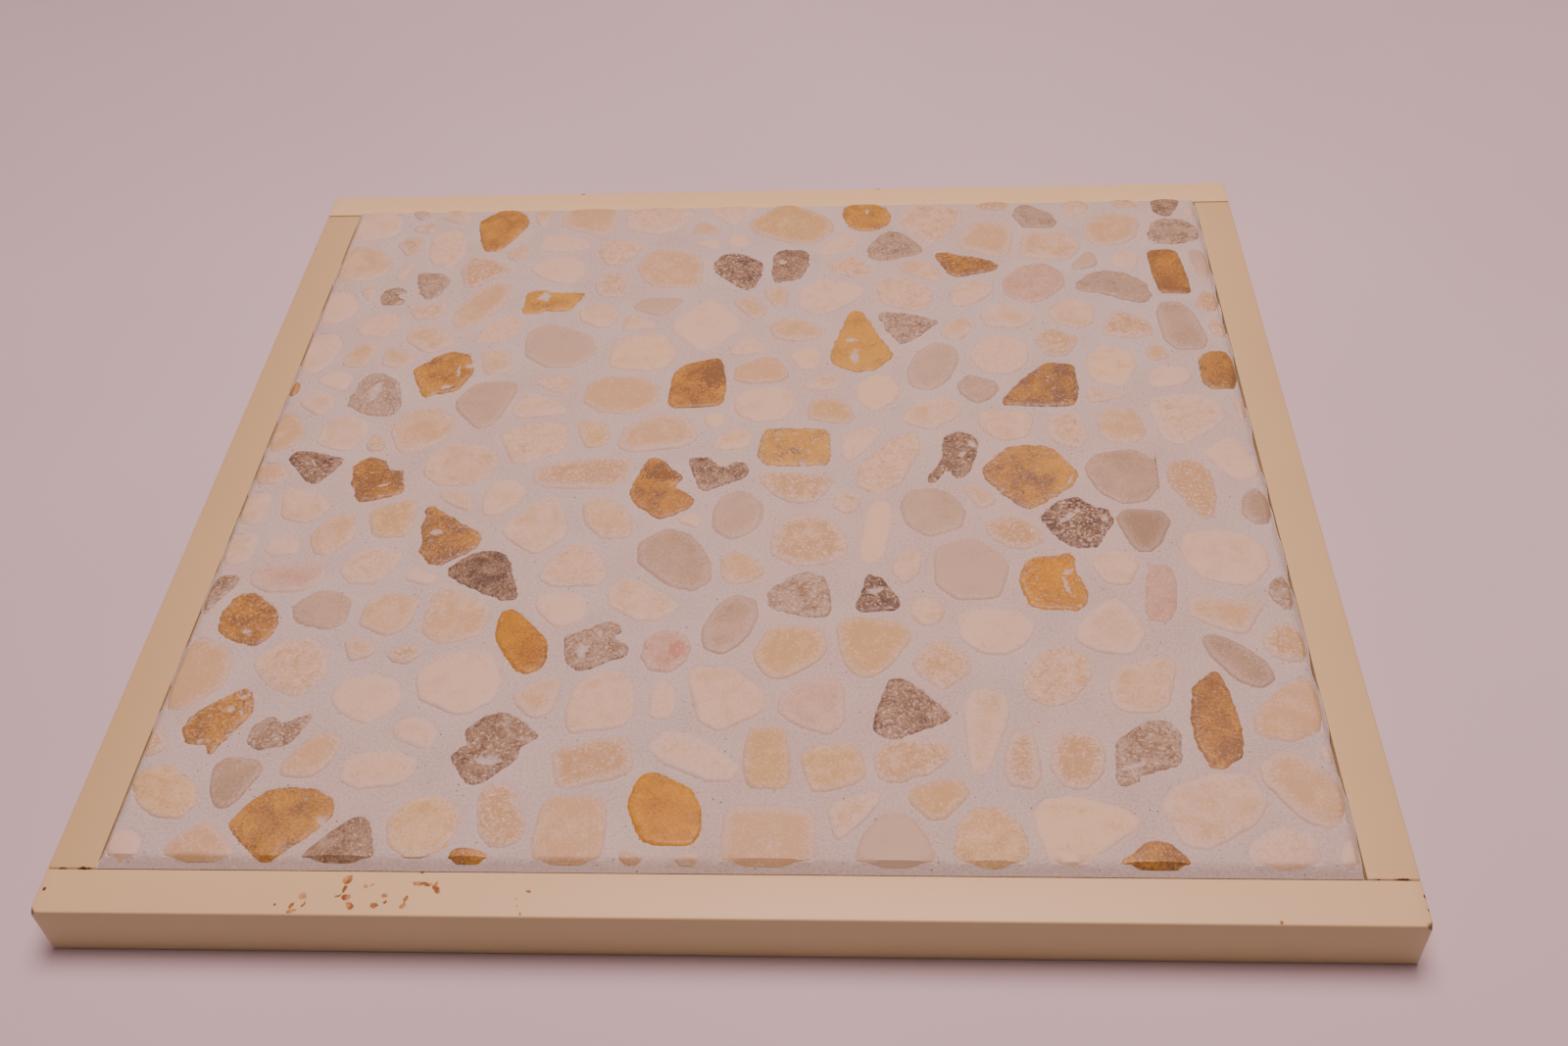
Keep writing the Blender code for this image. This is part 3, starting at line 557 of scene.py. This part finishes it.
FAR_FROM_STONES = 9 * MM  # the dip is as deep as it gets before this
NEAR_A_STONE = 6 * MM  # how far round a stone the grout is measured from it
UNDER_STONES = 2.5 * MM  # how far the grout drops away under the stones, where it doesn't show
STONE_LAP = (1.4 * MM, 1.5 * MM)  # how far under a stone it starts to, and over what width it does
GROUT_GRAIN = 0.7  # mm, coarser than the real 0.3 mm so that it shows
GROUT_CLOUDS = 16  # mm
DRIED_CLOUDS = 40  # mm
PINHOLE_PITCH = 1.9  # mm


def grout_look(tree, place):
    """The colour and the height of sponged sanded grout: fine grains, cloudy tone, places where it dried a
    warmer white, and pinholes, lowered a little and painted dark for the shade inside them."""
    clouds = add(tree, "TexNoise", {"Vector": place, "Scale": 1 / GROUT_CLOUDS, "Detail": 3})
    grains = add(tree, "TexNoise", {"Vector": place, "Scale": 1 / GROUT_GRAIN, "Detail": 2, "Roughness": 0.6})
    shade = add(tree, "Math", {0: clouds, 1: 0.35, 2: grains}, operation="MULTIPLY_ADD")
    white = add(tree, "ValToRGB", {"Fac": shade}, stops=((0.45, "B3B3B0"), (0.68, "C2C3C1"), (0.9, "CDCECD")))
    dried = add(tree, "TexNoise", {"Vector": place, "Scale": 1 / DRIED_CLOUDS, "Detail": 2})
    dried = add(tree, "MapRange", {"Value": dried, "From Min": 0.42, "From Max": 0.58})
    warmer = {"Factor": dried, "A": white, "B": linear("FFFDF6")}
    tint = add(tree, "Mix", warmer, data_type="RGBA", blend_type="MULTIPLY")
    cells = add(tree, "TexVoronoi", {"Vector": place, "Scale": 1 / PINHOLE_PITCH})
    chosen = add(tree, "SeparateColor", {"Color": cells.outputs["Color"]})
    rare = add(tree, "MapRange", {"Value": chosen, "From Min": 0.3, "From Max": 1, "To Max": 0.12})
    # Painted shade: the pinholes take a dark colour standing in for the shade inside them, and the bump also
    # lowers them.
    hole = add(tree, "Math", {0: cells, 1: rare}, operation="LESS_THAN")
    tint = add(tree, "Mix", {"Factor": hole, "A": tint.outputs[2], "B": linear("756C62")}, data_type="RGBA")
    height = add(tree, "Math", {0: hole, 1: -3, 2: grains}, operation="MULTIPLY_ADD")
    return tint, height


# Sanded grout of white cement, wiped with a wet sponge: dull, with fine grains in faint clouds. A crack runs
# beside one stone, but it is not cut into the grout: only its shade is painted, as a dark line. Two crumbs of
# yellow glue stick to the grout. Each has its middle, length, width and turn, in mm and degrees.
CRACK_SHADES = ((121, -4, 15, 0.7, 88),)
CRUMBS = ((-146.5, -140.5, 1.3, 1.1, 0), (-66.5, -136.5, 1.6, 1.2, 60))
GRAIN_HEIGHT = 0.12 * MM
grout, tree, shader, place = new_material("sponged sanded grout", 0.85)
tint, height = grout_look(tree, place)
grout_height = (stone_top - GROUT_UNDER) / MM
crack_shade, stuck = [nearest_oval(tree, place, ovals, grout_height) for ovals in (CRACK_SHADES, CRUMBS)]
# Painted shade of the crack: a dark line mixed into the grout's colour.
crack_shade = add(tree, "MapRange", {"Value": crack_shade, "From Min": 1.2, "From Max": 0.6})
tint = add(tree, "Mix", {"Factor": crack_shade, "A": tint.outputs[2], "B": linear("4A4038")}, data_type="RGBA")
stuck = add(tree, "MapRange", {"Value": stuck, "From Min": 1.1, "From Max": 0.8})
tint = add(tree, "Mix", {"Factor": stuck, "A": tint.outputs[2], "B": linear("CDB765")}, data_type="RGBA")
relief = add(tree, "Bump", {"Height": height, "Distance": GRAIN_HEIGHT, "Strength": 0.8})
tree.links.new(tint.outputs[2], shader.inputs["Base Color"])
tree.links.new(relief.outputs[0], shader.inputs["Normal"])

# Its top is a grid of heights, with more points along the side rails, where it has crumbled.
rail_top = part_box("front_rail")[1].z
across = np.arange(round((bed_high.x - bed_low.x) / GROUT_STEP) + 1)
along = np.arange(round((bed_high.y - bed_low.y) / GROUT_STEP) + 1)
xs = bed_low.x + (bed_high.x - bed_low.x) * across / across[-1]
ys = bed_low.y + (bed_high.y - bed_low.y) * along / along[-1]
xs = np.sort(np.concatenate([xs, *[(bed_low.x + gap, bed_high.x - gap) for gap in CRUMBLED]]))
grid_x, grid_y = np.meshgrid(xs, ys, indexing="ij")
room = np.full(grid_x.shape, FAR_FROM_STONES)
for outline in pale + list(own.values()):
    outline = worn_outline(outline, GROUT_STEP, 0, 0)[0]
    low, high = outline.min(axis=0) - NEAR_A_STONE, outline.max(axis=0) + NEAR_A_STONE
    rows = slice(*np.searchsorted(xs, (low[0], high[0])))
    columns = slice(*np.searchsorted(ys, (low[1], high[1])))
    spot = np.stack([grid_x[rows, columns], grid_y[rows, columns]], axis=-1)
    signed = -depth_inside(spot.reshape(-1, 2), outline).reshape(spot.shape[:2])
    room[rows, columns] = np.minimum(room[rows, columns], signed)
to_rail = np.minimum(bed_high.x - np.abs(grid_x), bed_high.y - np.abs(grid_y))
spots = np.column_stack([grid_x.ravel(), grid_y.ravel(), np.zeros(grid_x.size)])
(swell, swell_height), (mark, mark_height) = WIDE_SWELL, SPONGE_MARKS
rough = noise_at(spots, swell, 2) * swell_height + noise_at(spots, mark, 7) * mark_height
rough = rough.reshape(grid_x.shape) * MM
slope = np.clip((to_rail - RAIL_SLOPE[0]) / (RAIL_SLOPE[1] - RAIL_SLOPE[0]), 0, 1)
slope = 1 - (1 - slope) ** 2
dip = GROUT_DIP * (1 - np.exp(-np.clip(room, 0, None) / DIP_WIDTH))
field = stone_top - GROUT_UNDER - dip + rough
edge = rail_top + GROUT_AT_RAIL + rough
height = edge + (field - edge) * slope
height -= UNDER_STONES * np.clip((-room - STONE_LAP[0]) / STONE_LAP[1], 0, 1)
crumbling = noise_at(spots, CRUMBLED_LENGTH, 23).reshape(grid_x.shape)
crumbling = np.clip(crumbling * CRUMBLED_OFTEN[0] + CRUMBLED_OFTEN[1], 0, 1)
beside = np.interp(bed_high.x - np.abs(grid_x), (0, *CRUMBLED), (1, 1, 0))
height -= CRUMBLED_DEPTH * crumbling * beside
top = np.column_stack([grid_x.ravel(), grid_y.ravel(), height.ravel()])
number = np.arange(grid_x.size).reshape(grid_x.shape)
stray = 0.5 + 0.5 * noise_at(top, REACH_LENGTH, 11)
for axis, edge in ((0, bed_high.x), (1, bed_high.y)):
    on_edge = np.abs(np.abs(top[:, axis]) - edge) < SAME_PLACE
    reach = GROUT_REACH * (1 if axis else stray[on_edge])
    top[on_edge, axis] += np.sign(top[on_edge, axis]) * reach
faces = np.stack([number[:-1, :-1], number[1:, :-1], number[1:, 1:], number[:-1, 1:]], axis=-1).reshape(-1, 4)
border = np.concatenate([number[:-1, 0], number[-1, :-1], number[:0:-1, -1], number[0, :0:-1]])
foot = top[border].copy()
foot[:, 2] = bed_low.z
foot_number = len(top) + np.arange(len(border))
sides = np.stack([foot_number, np.roll(foot_number, -1), np.roll(border, -1), border], axis=-1)
underside = [foot_number[::-1].tolist()]
mesh = bpy.data.meshes.new("sanded_grout")
mesh.from_pydata(np.vstack([top, foot]).tolist(), [], faces.tolist() + sides.tolist() + underside)
make_piece("sanded_grout", mesh, grout, "grout", "grout_bed_with_pale_stones")


# The pale stones. Most are cream marble. Among them lie smooth tan limestone, cream travertine pitted
# all over, and a few rose and yellow ones. All were honed flat, tumbled and hazed by the grout.
STONE_GRAIN = 0.7  # mm, coarser than the real 0.4 mm so that it shows
SPECK = 0.9  # mm
PIT = 1.4  # mm
VEIN_PITCH = 11  # mm
VEINED = 0.75  # a stone hazed more than this has veins that the grout has filled
GRAIN_DEPTH = 0.1 * MM
GROUTED_ROUGHNESS = 0.85
KINDS = {  # the kind's share of the stones laid at random; then the place in mm and the tone of some of them
    "tan": (0.06, (-19, -40, 0.5), (-2, -64, 0.45), (115, -29, 0.95), (111, -6, 0.45), (133, -77, 0.7),
            (149, -18, 0.6), (-125, -118, 0.6), (137, 67, 0.45), (56, 47, 0.25)),
    "rose": (0, (-19, -74, 0.5), (92, 91, 0.5), (116, -53, 0.55), (-130, -46, 0.4), (21, -93, 0.3)),
    "pitted": (0.24, (131, -11, 1), (85, -82, 0.5), (-89, -114, 0.1), (42, 2, 0.4), (-37, -110, 0.9)),
    "yellow": (0.09, (-73, -130, 0.5), (-142, -121, 0.5), (66, -134, 0.65), (9, -108, 0.9), (9, 128, 0.9)),
}


def honed_stone(name, roughness, colours, wide, contrast, specks, flecks, filled, haze):
    """Stone in clouds of three colours as wide as a length in mm, with a share of the full contrast, and
    with the colours of its dark specks and bright flecks. The last two values say how white the grout has
    made its pits and veins, and how strong the haze of grout is along its edge."""
    material, tree, shader, place = new_material(name, roughness)
    patch = add(tree, "Attribute", attribute_name="patch").outputs["Vector"]
    look = add(tree, "Attribute", attribute_name="look").outputs["Vector"]
    look = add(tree, "SeparateXYZ", {0: look})
    named = ("rim", "haze", "fill", "burnt")
    rim, hazed, fill, burnt = [add(tree, "Attribute", attribute_name=key).outputs["Fac"] for key in named]
    shifted = add(tree, "VectorMath", {0: place, 1: patch}, operation="ADD")
    clouds = add(tree, "TexNoise", {"Vector": shifted, "Scale": 1 / wide, "Detail": 4, "Distortion": 0.5})
    fine = add(tree, "TexNoise", {"Vector": shifted, "Scale": 1 / STONE_GRAIN, "Detail": 2, "Roughness": 0.6})
    holes = add(tree, "TexNoise", {"Vector": shifted, "Scale": 1 / PIT, "Detail": 3, "Roughness": 0.6})
    mixed = add(tree, "Math", {0: fine, 1: clouds}, operation="ADD")
    mixed = add(tree, "Math", {0: mixed, 1: contrast, 2: -contrast}, operation="MULTIPLY_ADD")
    mixed = add(tree, "Math", {0: look.outputs["X"], 1: 0.7, 2: mixed}, operation="MULTIPLY_ADD")
    deep = add(tree, "Math", {0: holes, 1: 2.5, 2: burnt}, operation="MULTIPLY_ADD")
    deep = add(tree, "MapRange", {"Value": deep, "From Min": 1.2, "From Max": 1.4, "To Max": 0.3})
    mixed = add(tree, "Math", {0: mixed, 1: deep}, operation="ADD")
    spread = add(tree, "MapRange", {"Value": mixed, "From Min": -0.07, "From Max": 0.77})
    tint = add(tree, "ValToRGB", {"Fac": spread}, stops=tuple(zip((0.2, 0.5, 0.8), colours)))
    # Dark specks, and then the bright flecks of crystals
    spots = add(tree, "TexNoise", {"Vector": shifted, "Scale": 1 / SPECK, "Detail": 2})
    spots = add(tree, "Math", {0: clouds, 1: 0.5, 2: spots}, operation="MULTIPLY_ADD")
    level = add(tree, "MapRange", {"Value": look.outputs["Y"], "To Min": 1.02, "To Max": 0.76})
    dark = add(tree, "Math", {0: spots, 1: level}, operation="SUBTRACT")
    dark = add(tree, "MapRange", {"Value": dark, "From Min": 0, "From Max": 0.08, "To Max": 0.7})
    tint = add(tree, "Mix", {"Factor": dark, "A": tint, "B": linear(specks)}, data_type="RGBA")
    crystals = {"Vector": shifted, "Scale": 1 / SPECK, "Detail": 3, "Distortion": 0.4}
    crystals = add(tree, "TexNoise", crystals)
    pitted = look.outputs["Z"]
    level = add(tree, "MapRange", {"Value": pitted, "From Max": 0.3, "To Min": 0.64, "To Max": 0.54})
    bright = add(tree, "Math", {0: crystals, 1: level}, operation="SUBTRACT")
    bright = add(tree, "MapRange", {"Value": bright, "From Min": 0, "From Max": 0.08, "To Max": 0.7})
    tint = add(tree, "Mix", {"Factor": bright, "A": tint, "B": linear(flecks)}, data_type="RGBA")
    # The haze of grout on its edge
    smear = add(tree, "Math", {0: fine, 1: 8, 2: rim}, operation="MULTIPLY_ADD")
    smear = add(tree, "Math", {0: hazed, 1: -2, 2: smear}, operation="MULTIPLY_ADD")
    smear = add(tree, "MapRange", {"Value": smear, "From Min": 5.3, "From Max": 3.1, "To Max": haze})
    tint = add(tree, "Mix", {"Factor": smear, "A": tint, "B": linear("D0CCC6")}, data_type="RGBA")
    # Grout in its pits, which crowd along the edge, in its hollows and in the veins of some
    level = add(tree, "MapRange", {"Value": pitted, "From Max": 0.6, "To Min": 0.7, "To Max": 0.53})
    ragged = add(tree, "MapRange", {"Value": rim, "From Max": 1.4, "To Min": 0.06, "To Max": 0})
    pit = add(tree, "Math", {0: holes, 1: ragged}, operation="ADD")
    pit = add(tree, "Math", {0: pit, 1: level}, operation="SUBTRACT")
    pit = add(tree, "MapRange", {"Value": pit, "From Min": 0, "From Max": 0.05, "To Max": filled})
    fill = add(tree, "Math", {0: holes, 1: 2.5, 2: fill}, operation="MULTIPLY_ADD")
    fill = add(tree, "MapRange", {"Value": fill, "From Min": 1.25, "From Max": 1.55, "To Max": 0.85})
    pit = add(tree, "Math", {0: pit, 1: fill}, operation="MAXIMUM")
    folds = {"Vector": shifted, "Scale": 1 / VEIN_PITCH, "Detail": 2, "Distortion": 0.8}
    vein = add(tree, "Math", {0: add(tree, "TexNoise", folds), 1: 0.5}, operation="SUBTRACT")
    vein = add(tree, "Math", {0: vein}, operation="ABSOLUTE")
    vein = add(tree, "MapRange", {"Value": vein, "From Min": 0.009, "From Max": 0.004, "To Max": filled})
    veined = add(tree, "Math", {0: hazed, 1: VEINED}, operation="GREATER_THAN")
    vein = add(tree, "Math", {0: vein, 1: veined}, operation="MULTIPLY")
    pit = add(tree, "Math", {0: pit, 1: vein}, operation="MAXIMUM")
    grout_tint, _ = grout_look(tree, place)
    tint = add(tree, "Mix", {"Factor": pit, "A": tint, "B": grout_tint}, data_type="RGBA")
    height = add(tree, "Math", {0: pit, 1: -1.2, 2: fine}, operation="MULTIPLY_ADD")
    relief = add(tree, "Bump", {"Height": height, "Distance": GRAIN_DEPTH, "Strength": 0.5})
    dull = add(tree, "MapRange", {"Value": pit, "To Min": roughness, "To Max": GROUTED_ROUGHNESS})
    tree.links.new(tint.outputs[2], shader.inputs["Base Color"])
    tree.links.new(dull.outputs[0], shader.inputs["Roughness"])
    tree.links.new(relief.outputs[0], shader.inputs["Normal"])
    return material


# Honed cream marble: milky, with soft clouds, dull under the haze. The rose and the yellow marble are
# like it, with a tint of their own. Tan limestone: fine and even, the smoothest of the pale stones.
# Honed cream travertine: full of small pits that the grout has filled.
PALE_MATERIALS = {
    "cream": honed_stone(
        "honed cream marble", 0.6, ("D7CAB4", "CFC0A2", "C6B188"), 6, 1, "A3937A", "DCD1BC", 0.45, 0.6
    ),
    "tan": honed_stone(
        "honed tan limestone", 0.55, ("BFB49F", "ADA18A", "978A72"), 9, 0.5, "8C7C63", "C2B8A5", 0.15, 0.3
    ),
    "rose": honed_stone(
        "honed rose marble", 0.6, ("CDBDAA", "BDAA97", "B88E7C"), 5, 0.6, "A38D77", "D6C9BA", 0.4, 0.5
    ),
    "pitted": honed_stone(
        "filled cream travertine", 0.65, ("D6C7AE", "CBB997", "BAA47A"), 3, 1.1, "998A70", "DDD2BE", 0.5, 0.65
    ),
    "yellow": honed_stone(
        "honed yellow marble", 0.6, ("DBCCAA", "D0BF93", "C1AC78"), 4, 1, "A6946C", "DCCEAC", 0.5, 0.5
    ),
}
PALE_SPACING = 0.9 * MM  # between the points of an outline
PALE_SHAPES = {  # how far each kind's outline strays, and how uneven its top is, mm
    "cream": (0.8, 0.15),
    "tan": (0.5, 0.05),
    "rose": (0.7, 0.15),
    "pitted": (1.1, 0.25),
    "yellow": (0.9, 0.2),
}
PALE_PITS = {"cream": 0.12, "tan": 0, "rose": 0.12, "pitted": 0.35, "yellow": 0.15}
PITS_SPREAD = (0.5, 1.3)  # the least and the most share of that
MOST_SPECKS = 0.45
DARKEST_TAN = 0.4  # the most tone of a tan stone laid at random
CORAL = ((-15, -74, 7, 5, 70),)  # where a rose stone is deeper in colour: its middle, length, width and turn
chance = random.Random(3)
sorted_stones = {kind: [] for kind in PALE_MATERIALS}
pale_middles = np.array([middle(outline) for outline in pale]) / MM
listed = {}
for kind, (_, *spots) in KINDS.items():
    for x, y, tone in spots:
        listed[int(np.argmin(np.linalg.norm(pale_middles - (x, y), axis=1)))] = kind, tone
for number, outline in enumerate(pale):
    draw = chance.random()
    kind, tone = listed.get(number, (None, chance.random()))
    for other, (share, *_) in KINDS.items():
        if kind is None and draw < share:
            kind = other
        draw -= share
    kind = kind or "cream"
    if kind == "tan" and number not in listed:
        tone *= DARKEST_TAN
    stray, uneven = PALE_SHAPES[kind]
    shape = stone_shape(outline, chance, PALE_SPACING, stray * MM, uneven * MM, burnt=CORAL)
    pits = PALE_PITS[kind] * chance.uniform(*PITS_SPREAD)
    look = (tone, chance.uniform(0, MOST_SPECKS), pits, chance.uniform(0, 1))
    sorted_stones[kind].append((shape, look))
for kind, stones in sorted_stones.items():
    mesh = stones_mesh(f"{kind}_stones", stones)
    make_piece(f"{kind}_stones", mesh, PALE_MATERIALS[kind], "pale_stone", "grout_bed_with_pale_stones")


# The ochre stones: gold travertine, in tones from light gold to burnt orange, with grey-blue specks and
# with holes that the grout has filled. A few are smooth and even.
COLOURED_SPACING = 0.6 * MM
SMOOTH_SHAPE = (0.5 * MM, 0.03 * MM)  # how far the outline strays, and how uneven the top is
BROKEN_SHAPE = (1.2 * MM, 0.13 * MM)
SMOOTH_BELOW = 0.2  # a stone with fewer specks and pits than this is smooth
MOST_HAZE = 0.4
OCHRE_LOOKS = {  # tone from light gold to burnt orange, specks, pits; then the filled hollows, mm and degrees
    1: (0.45, 0.3, 0.1),
    2: (0.2, 0.4, 0.15, (-74.7, 85.8, 6, 4, 60)),
    3: (0.5, 0.2, 0.1, (-97.2, 45.6, 6.4, 1.2, 94), (-94.2, 48.8, 3, 2, 30), (-100, 38.2, 6, 1.6, 20)),
    4: (0.55, 0.15, 0),
    5: (0.45, 0.35, 0.1, (35.1, 135, 4, 1.5, 90)),
    6: (0.25, 0.4, 0.1, (31.5, 51.6, 7, 3, 90), (30.2, 60.2, 4, 2.5, 0)),
    7: (0.68, 0.5, 0.2),
    8: (0.7, 1, 0.2),
    9: (0.15, 1, 0.4, (16.2, 0.5, 3, 2, 0)),
    10: (0.4, 1, 0.2, (95.4, -7.2, 5, 0.9, 70)),
    12: (0.6, 0.7, 0.1),
    13: (0.75, 0.4, 0.2, (-109.9, -8, 4.6, 1, 25)),
    14: (0.65, 0.8, 0.25, (-89.7, -28.4, 3.5, 2.5, 0)),
    15: (0.6, 0.5, 0.2, (-135.7, -67.1, 2.2, 2.2, 0)),
    17: (0.6, 0.5, 0.3, (-132.2, -94.8, 4, 1.5, 10), (-130, -90.3, 2.5, 2, 0)),
    18: (0.5, 0.75, 0.12, (-98.9, -129.2, 2.8, 2.8, 0)),
    20: (0.66, 0.3, 0.05),
    21: (0.65, 0.5, 0.15),
    22: (0.5, 0.6, 0.25),
    23: (0.7, 0.05, 0),
    24: (0.65, 0.4, 0.05),
    25: (0.55, 0.1, 0),
}
AMBER_LOOKS = {  # the same of the three that are the deepest yellow
    11: (0.45, 0.7, 0.3, (91.4, -45.3, 3, 2, 0), (90.6, -50.2, 9, 1.5, -79)),
    16: (0.5, 0, 0),
    19: (0.35, 0, 0),
}
BURNT = (  # where two of them turn deep orange
    (-12.5, 45, 17, 10, 75),
    (-25, -4.2, 13, 5, 0),
)


def coloured_stones(kind, looks, material, burnt=()):
    """A piece for each coloured stone. Only those with hardly any specks or pits are smooth and even."""
    for number, (tone, specks, pits, *hollows) in looks.items():
        node = f"{kind}_stone_{number:02d}"
        stray, uneven = SMOOTH_SHAPE if specks + pits < SMOOTH_BELOW else BROKEN_SHAPE
        shape = stone_shape(own[node], chance, COLOURED_SPACING, stray, uneven, hollows, burnt)
        name = f"{kind}_travertine_{number:02d}"
        look = (tone, specks, pits, chance.uniform(0, MOST_HAZE))
        mesh = stones_mesh(name, [(shape, look)])
        make_piece(name, mesh, material, f"{kind}_stone", node)


# Honed ochre travertine: warm gold with a silky sheen, clouded orange and speckled grey-blue. The amber
# stones are a deeper and clearer yellow.
ochre_travertine = honed_stone(
    "honed ochre travertine", 0.5, ("C4A44A", "AC8842", "7F6642"), 7, 0.8, "605F68", "CDB07C", 0.7, 0.1
)
coloured_stones("ochre", OCHRE_LOOKS, ochre_travertine, BURNT)
amber_travertine = honed_stone(
    "honed amber travertine", 0.5, ("C79A08", "AE8422", "7E5A2A"), 7, 0.7, "605F68", "CBA862", 0.7, 0.1
)
coloured_stones("ochre", AMBER_LOOKS, amber_travertine)


# The brown stones: grey-brown travertine, the most pitted of all, so that grout shows white across some
# of them and has eaten into their outlines.
BROWN_LOOKS = {  # tone from grey-beige to dark brown, specks, pits; then the filled hollows, mm and degrees
    1: (0.3, 0.2, 0.19),
    2: (0.2, 0.2, 0.23),
    3: (0.62, 0.4, 0.3),
    4: (0.5, 0.4, 0.15, (6.1, 104.3, 3, 3, 0)),
    5: (0.27, 0.3, 0.23),
    6: (0.37, 0.4, 0.3),
    7: (0.1, 0.1, 0.11),
    8: (0.45, 0.3, 0.15),
    9: (0.3, 0.3, 0.23),
    10: (0.1, 0.2, 0.11),
    11: (0.2, 0.2, 0.3, (-122.5, 36, 11, 4, 80)),
    12: (0.6, 0.3, 0.23, (-134, 2, 5, 1.2, -60)),
    13: (0.5, 0.2, 0.19),
    14: (0.55, 0.2, 0.19, (67.4, 8.8, 3, 3, 0), (64.2, 4.3, 3.5, 2, 60)),
    15: (0.7, 0.3, 0.32, (93.5, -23.1, 9, 2, 41), (103.8, -23.9, 2.6, 2.6, 0)),
    16: (0.68, 0.6, 0.08),
    17: (0.25, 0.3, 0.32),
    18: (0.7, 0.3, 0.23, (37.9, -52, 5, 3, 10)),
    19: (0.35, 0.4, 0.26, (-41.1, -73.8, 6, 3.5, 80)),
    20: (0.55, 0.4, 0.26),
    21: (0.5, 0.3, 0.23, (-60.1, -110.8, 8, 3, 5)),
    22: (0.33, 0.3, 0.26),
    23: (0.35, 0.3, 0.26, (102, -111.5, 9, 2, 20)),
    24: (0.4, 0.1, 0.08),
    25: (0.2, 0.3, 0.23),
    26: (0.4, 0.3, 0.26),
}
# Honed brown travertine: grey-brown and silky, broken up by white pits.
brown_travertine = honed_stone(
    "honed brown travertine", 0.55, ("AAA18D", "8A7A61", "574C42"), 4, 0.85, "3A3129", "CFC5B5", 0.85, 0.1
)
coloured_stones("brown", BROWN_LOOKS, brown_travertine)


# The stage: a sheet of pale paper under soft light, and the camera where the photograph was taken from,
# low in front of the panel's front rail and a little to the right of its middle.
CAMERA_PLACE = Vector((39.7, -356.0, 343.2)) * MM
CAMERA_TURN = (45.66, 2.61, 2.30)  # degrees
LENS = 36.77  # mm
LIGHT_TINT = (1.0, 0.6, 0.545)
KEY_PLACE = (0.05, 0.12, 1.0)
KEY_AIM = Vector((0.02, 0, 0))
KEY_WIDTH = 0.55
KEY_POWER = 12.4  # watts
WINDOW_STRENGTH = 0.7
WINDOW_SPREAD = math.radians(50)
ROOM_STRENGTH = 0.12
ROOM_SEEN = 0.3  # how bright the room is where it shows past the paper
PAPER_WIDTH = 6
PAPER_CLOUDS = 180  # mm
# Matt paper, laid flat: a pale grey with a little blue, very slightly uneven.
paper, tree, shader, place = new_material("pale paper", 0.9)
clouds = add(tree, "TexNoise", {"Vector": place, "Scale": 1 / PAPER_CLOUDS, "Detail": 2})
tint = add(tree, "ValToRGB", {"Fac": clouds}, stops=((0.3, "C9C9D6"), (0.7, "CECEDB")))
tree.links.new(tint.outputs[0], shader.inputs["Base Color"])
bpy.ops.mesh.primitive_plane_add(size=PAPER_WIDTH)
floor = bpy.context.object
floor.name = "paper_floor"
floor.data.materials.append(paper)
key = bpy.data.lights.new("key", "AREA")
key.shape = "DISK"
key.size = KEY_WIDTH
key.energy = KEY_POWER
key.color = LIGHT_TINT
lamp = bpy.data.objects.new("key", key)
lamp.location = KEY_PLACE
lamp.rotation_euler = (KEY_AIM - lamp.location).to_track_quat("-Z", "Y").to_euler()
bpy.context.scene.collection.objects.link(lamp)
daylight = bpy.data.lights.new("high window", "SUN")
daylight.energy = WINDOW_STRENGTH
daylight.angle = WINDOW_SPREAD
daylight.color = LIGHT_TINT
window = bpy.data.objects.new("high window", daylight)
window.rotation_euler = lamp.rotation_euler
bpy.context.scene.collection.objects.link(window)
world = bpy.data.worlds.new("soft room")
world.use_nodes = True
background = world.node_tree.nodes["Background"]
background.inputs["Color"].default_value = (*LIGHT_TINT, 1)
seen = add(world.node_tree, "LightPath").outputs["Is Camera Ray"]
strength = add(world.node_tree, "MapRange", {"Value": seen, "To Min": ROOM_STRENGTH, "To Max": ROOM_SEEN})
world.node_tree.links.new(strength.outputs[0], background.inputs["Strength"])
bpy.context.scene.world = world
camera = bpy.data.objects.new("camera", bpy.data.cameras.new("camera"))
camera.data.lens = LENS
camera.location = CAMERA_PLACE
camera.rotation_euler = [math.radians(turn) for turn in CAMERA_TURN]
bpy.context.scene.collection.objects.link(camera)
bpy.context.scene.camera = camera
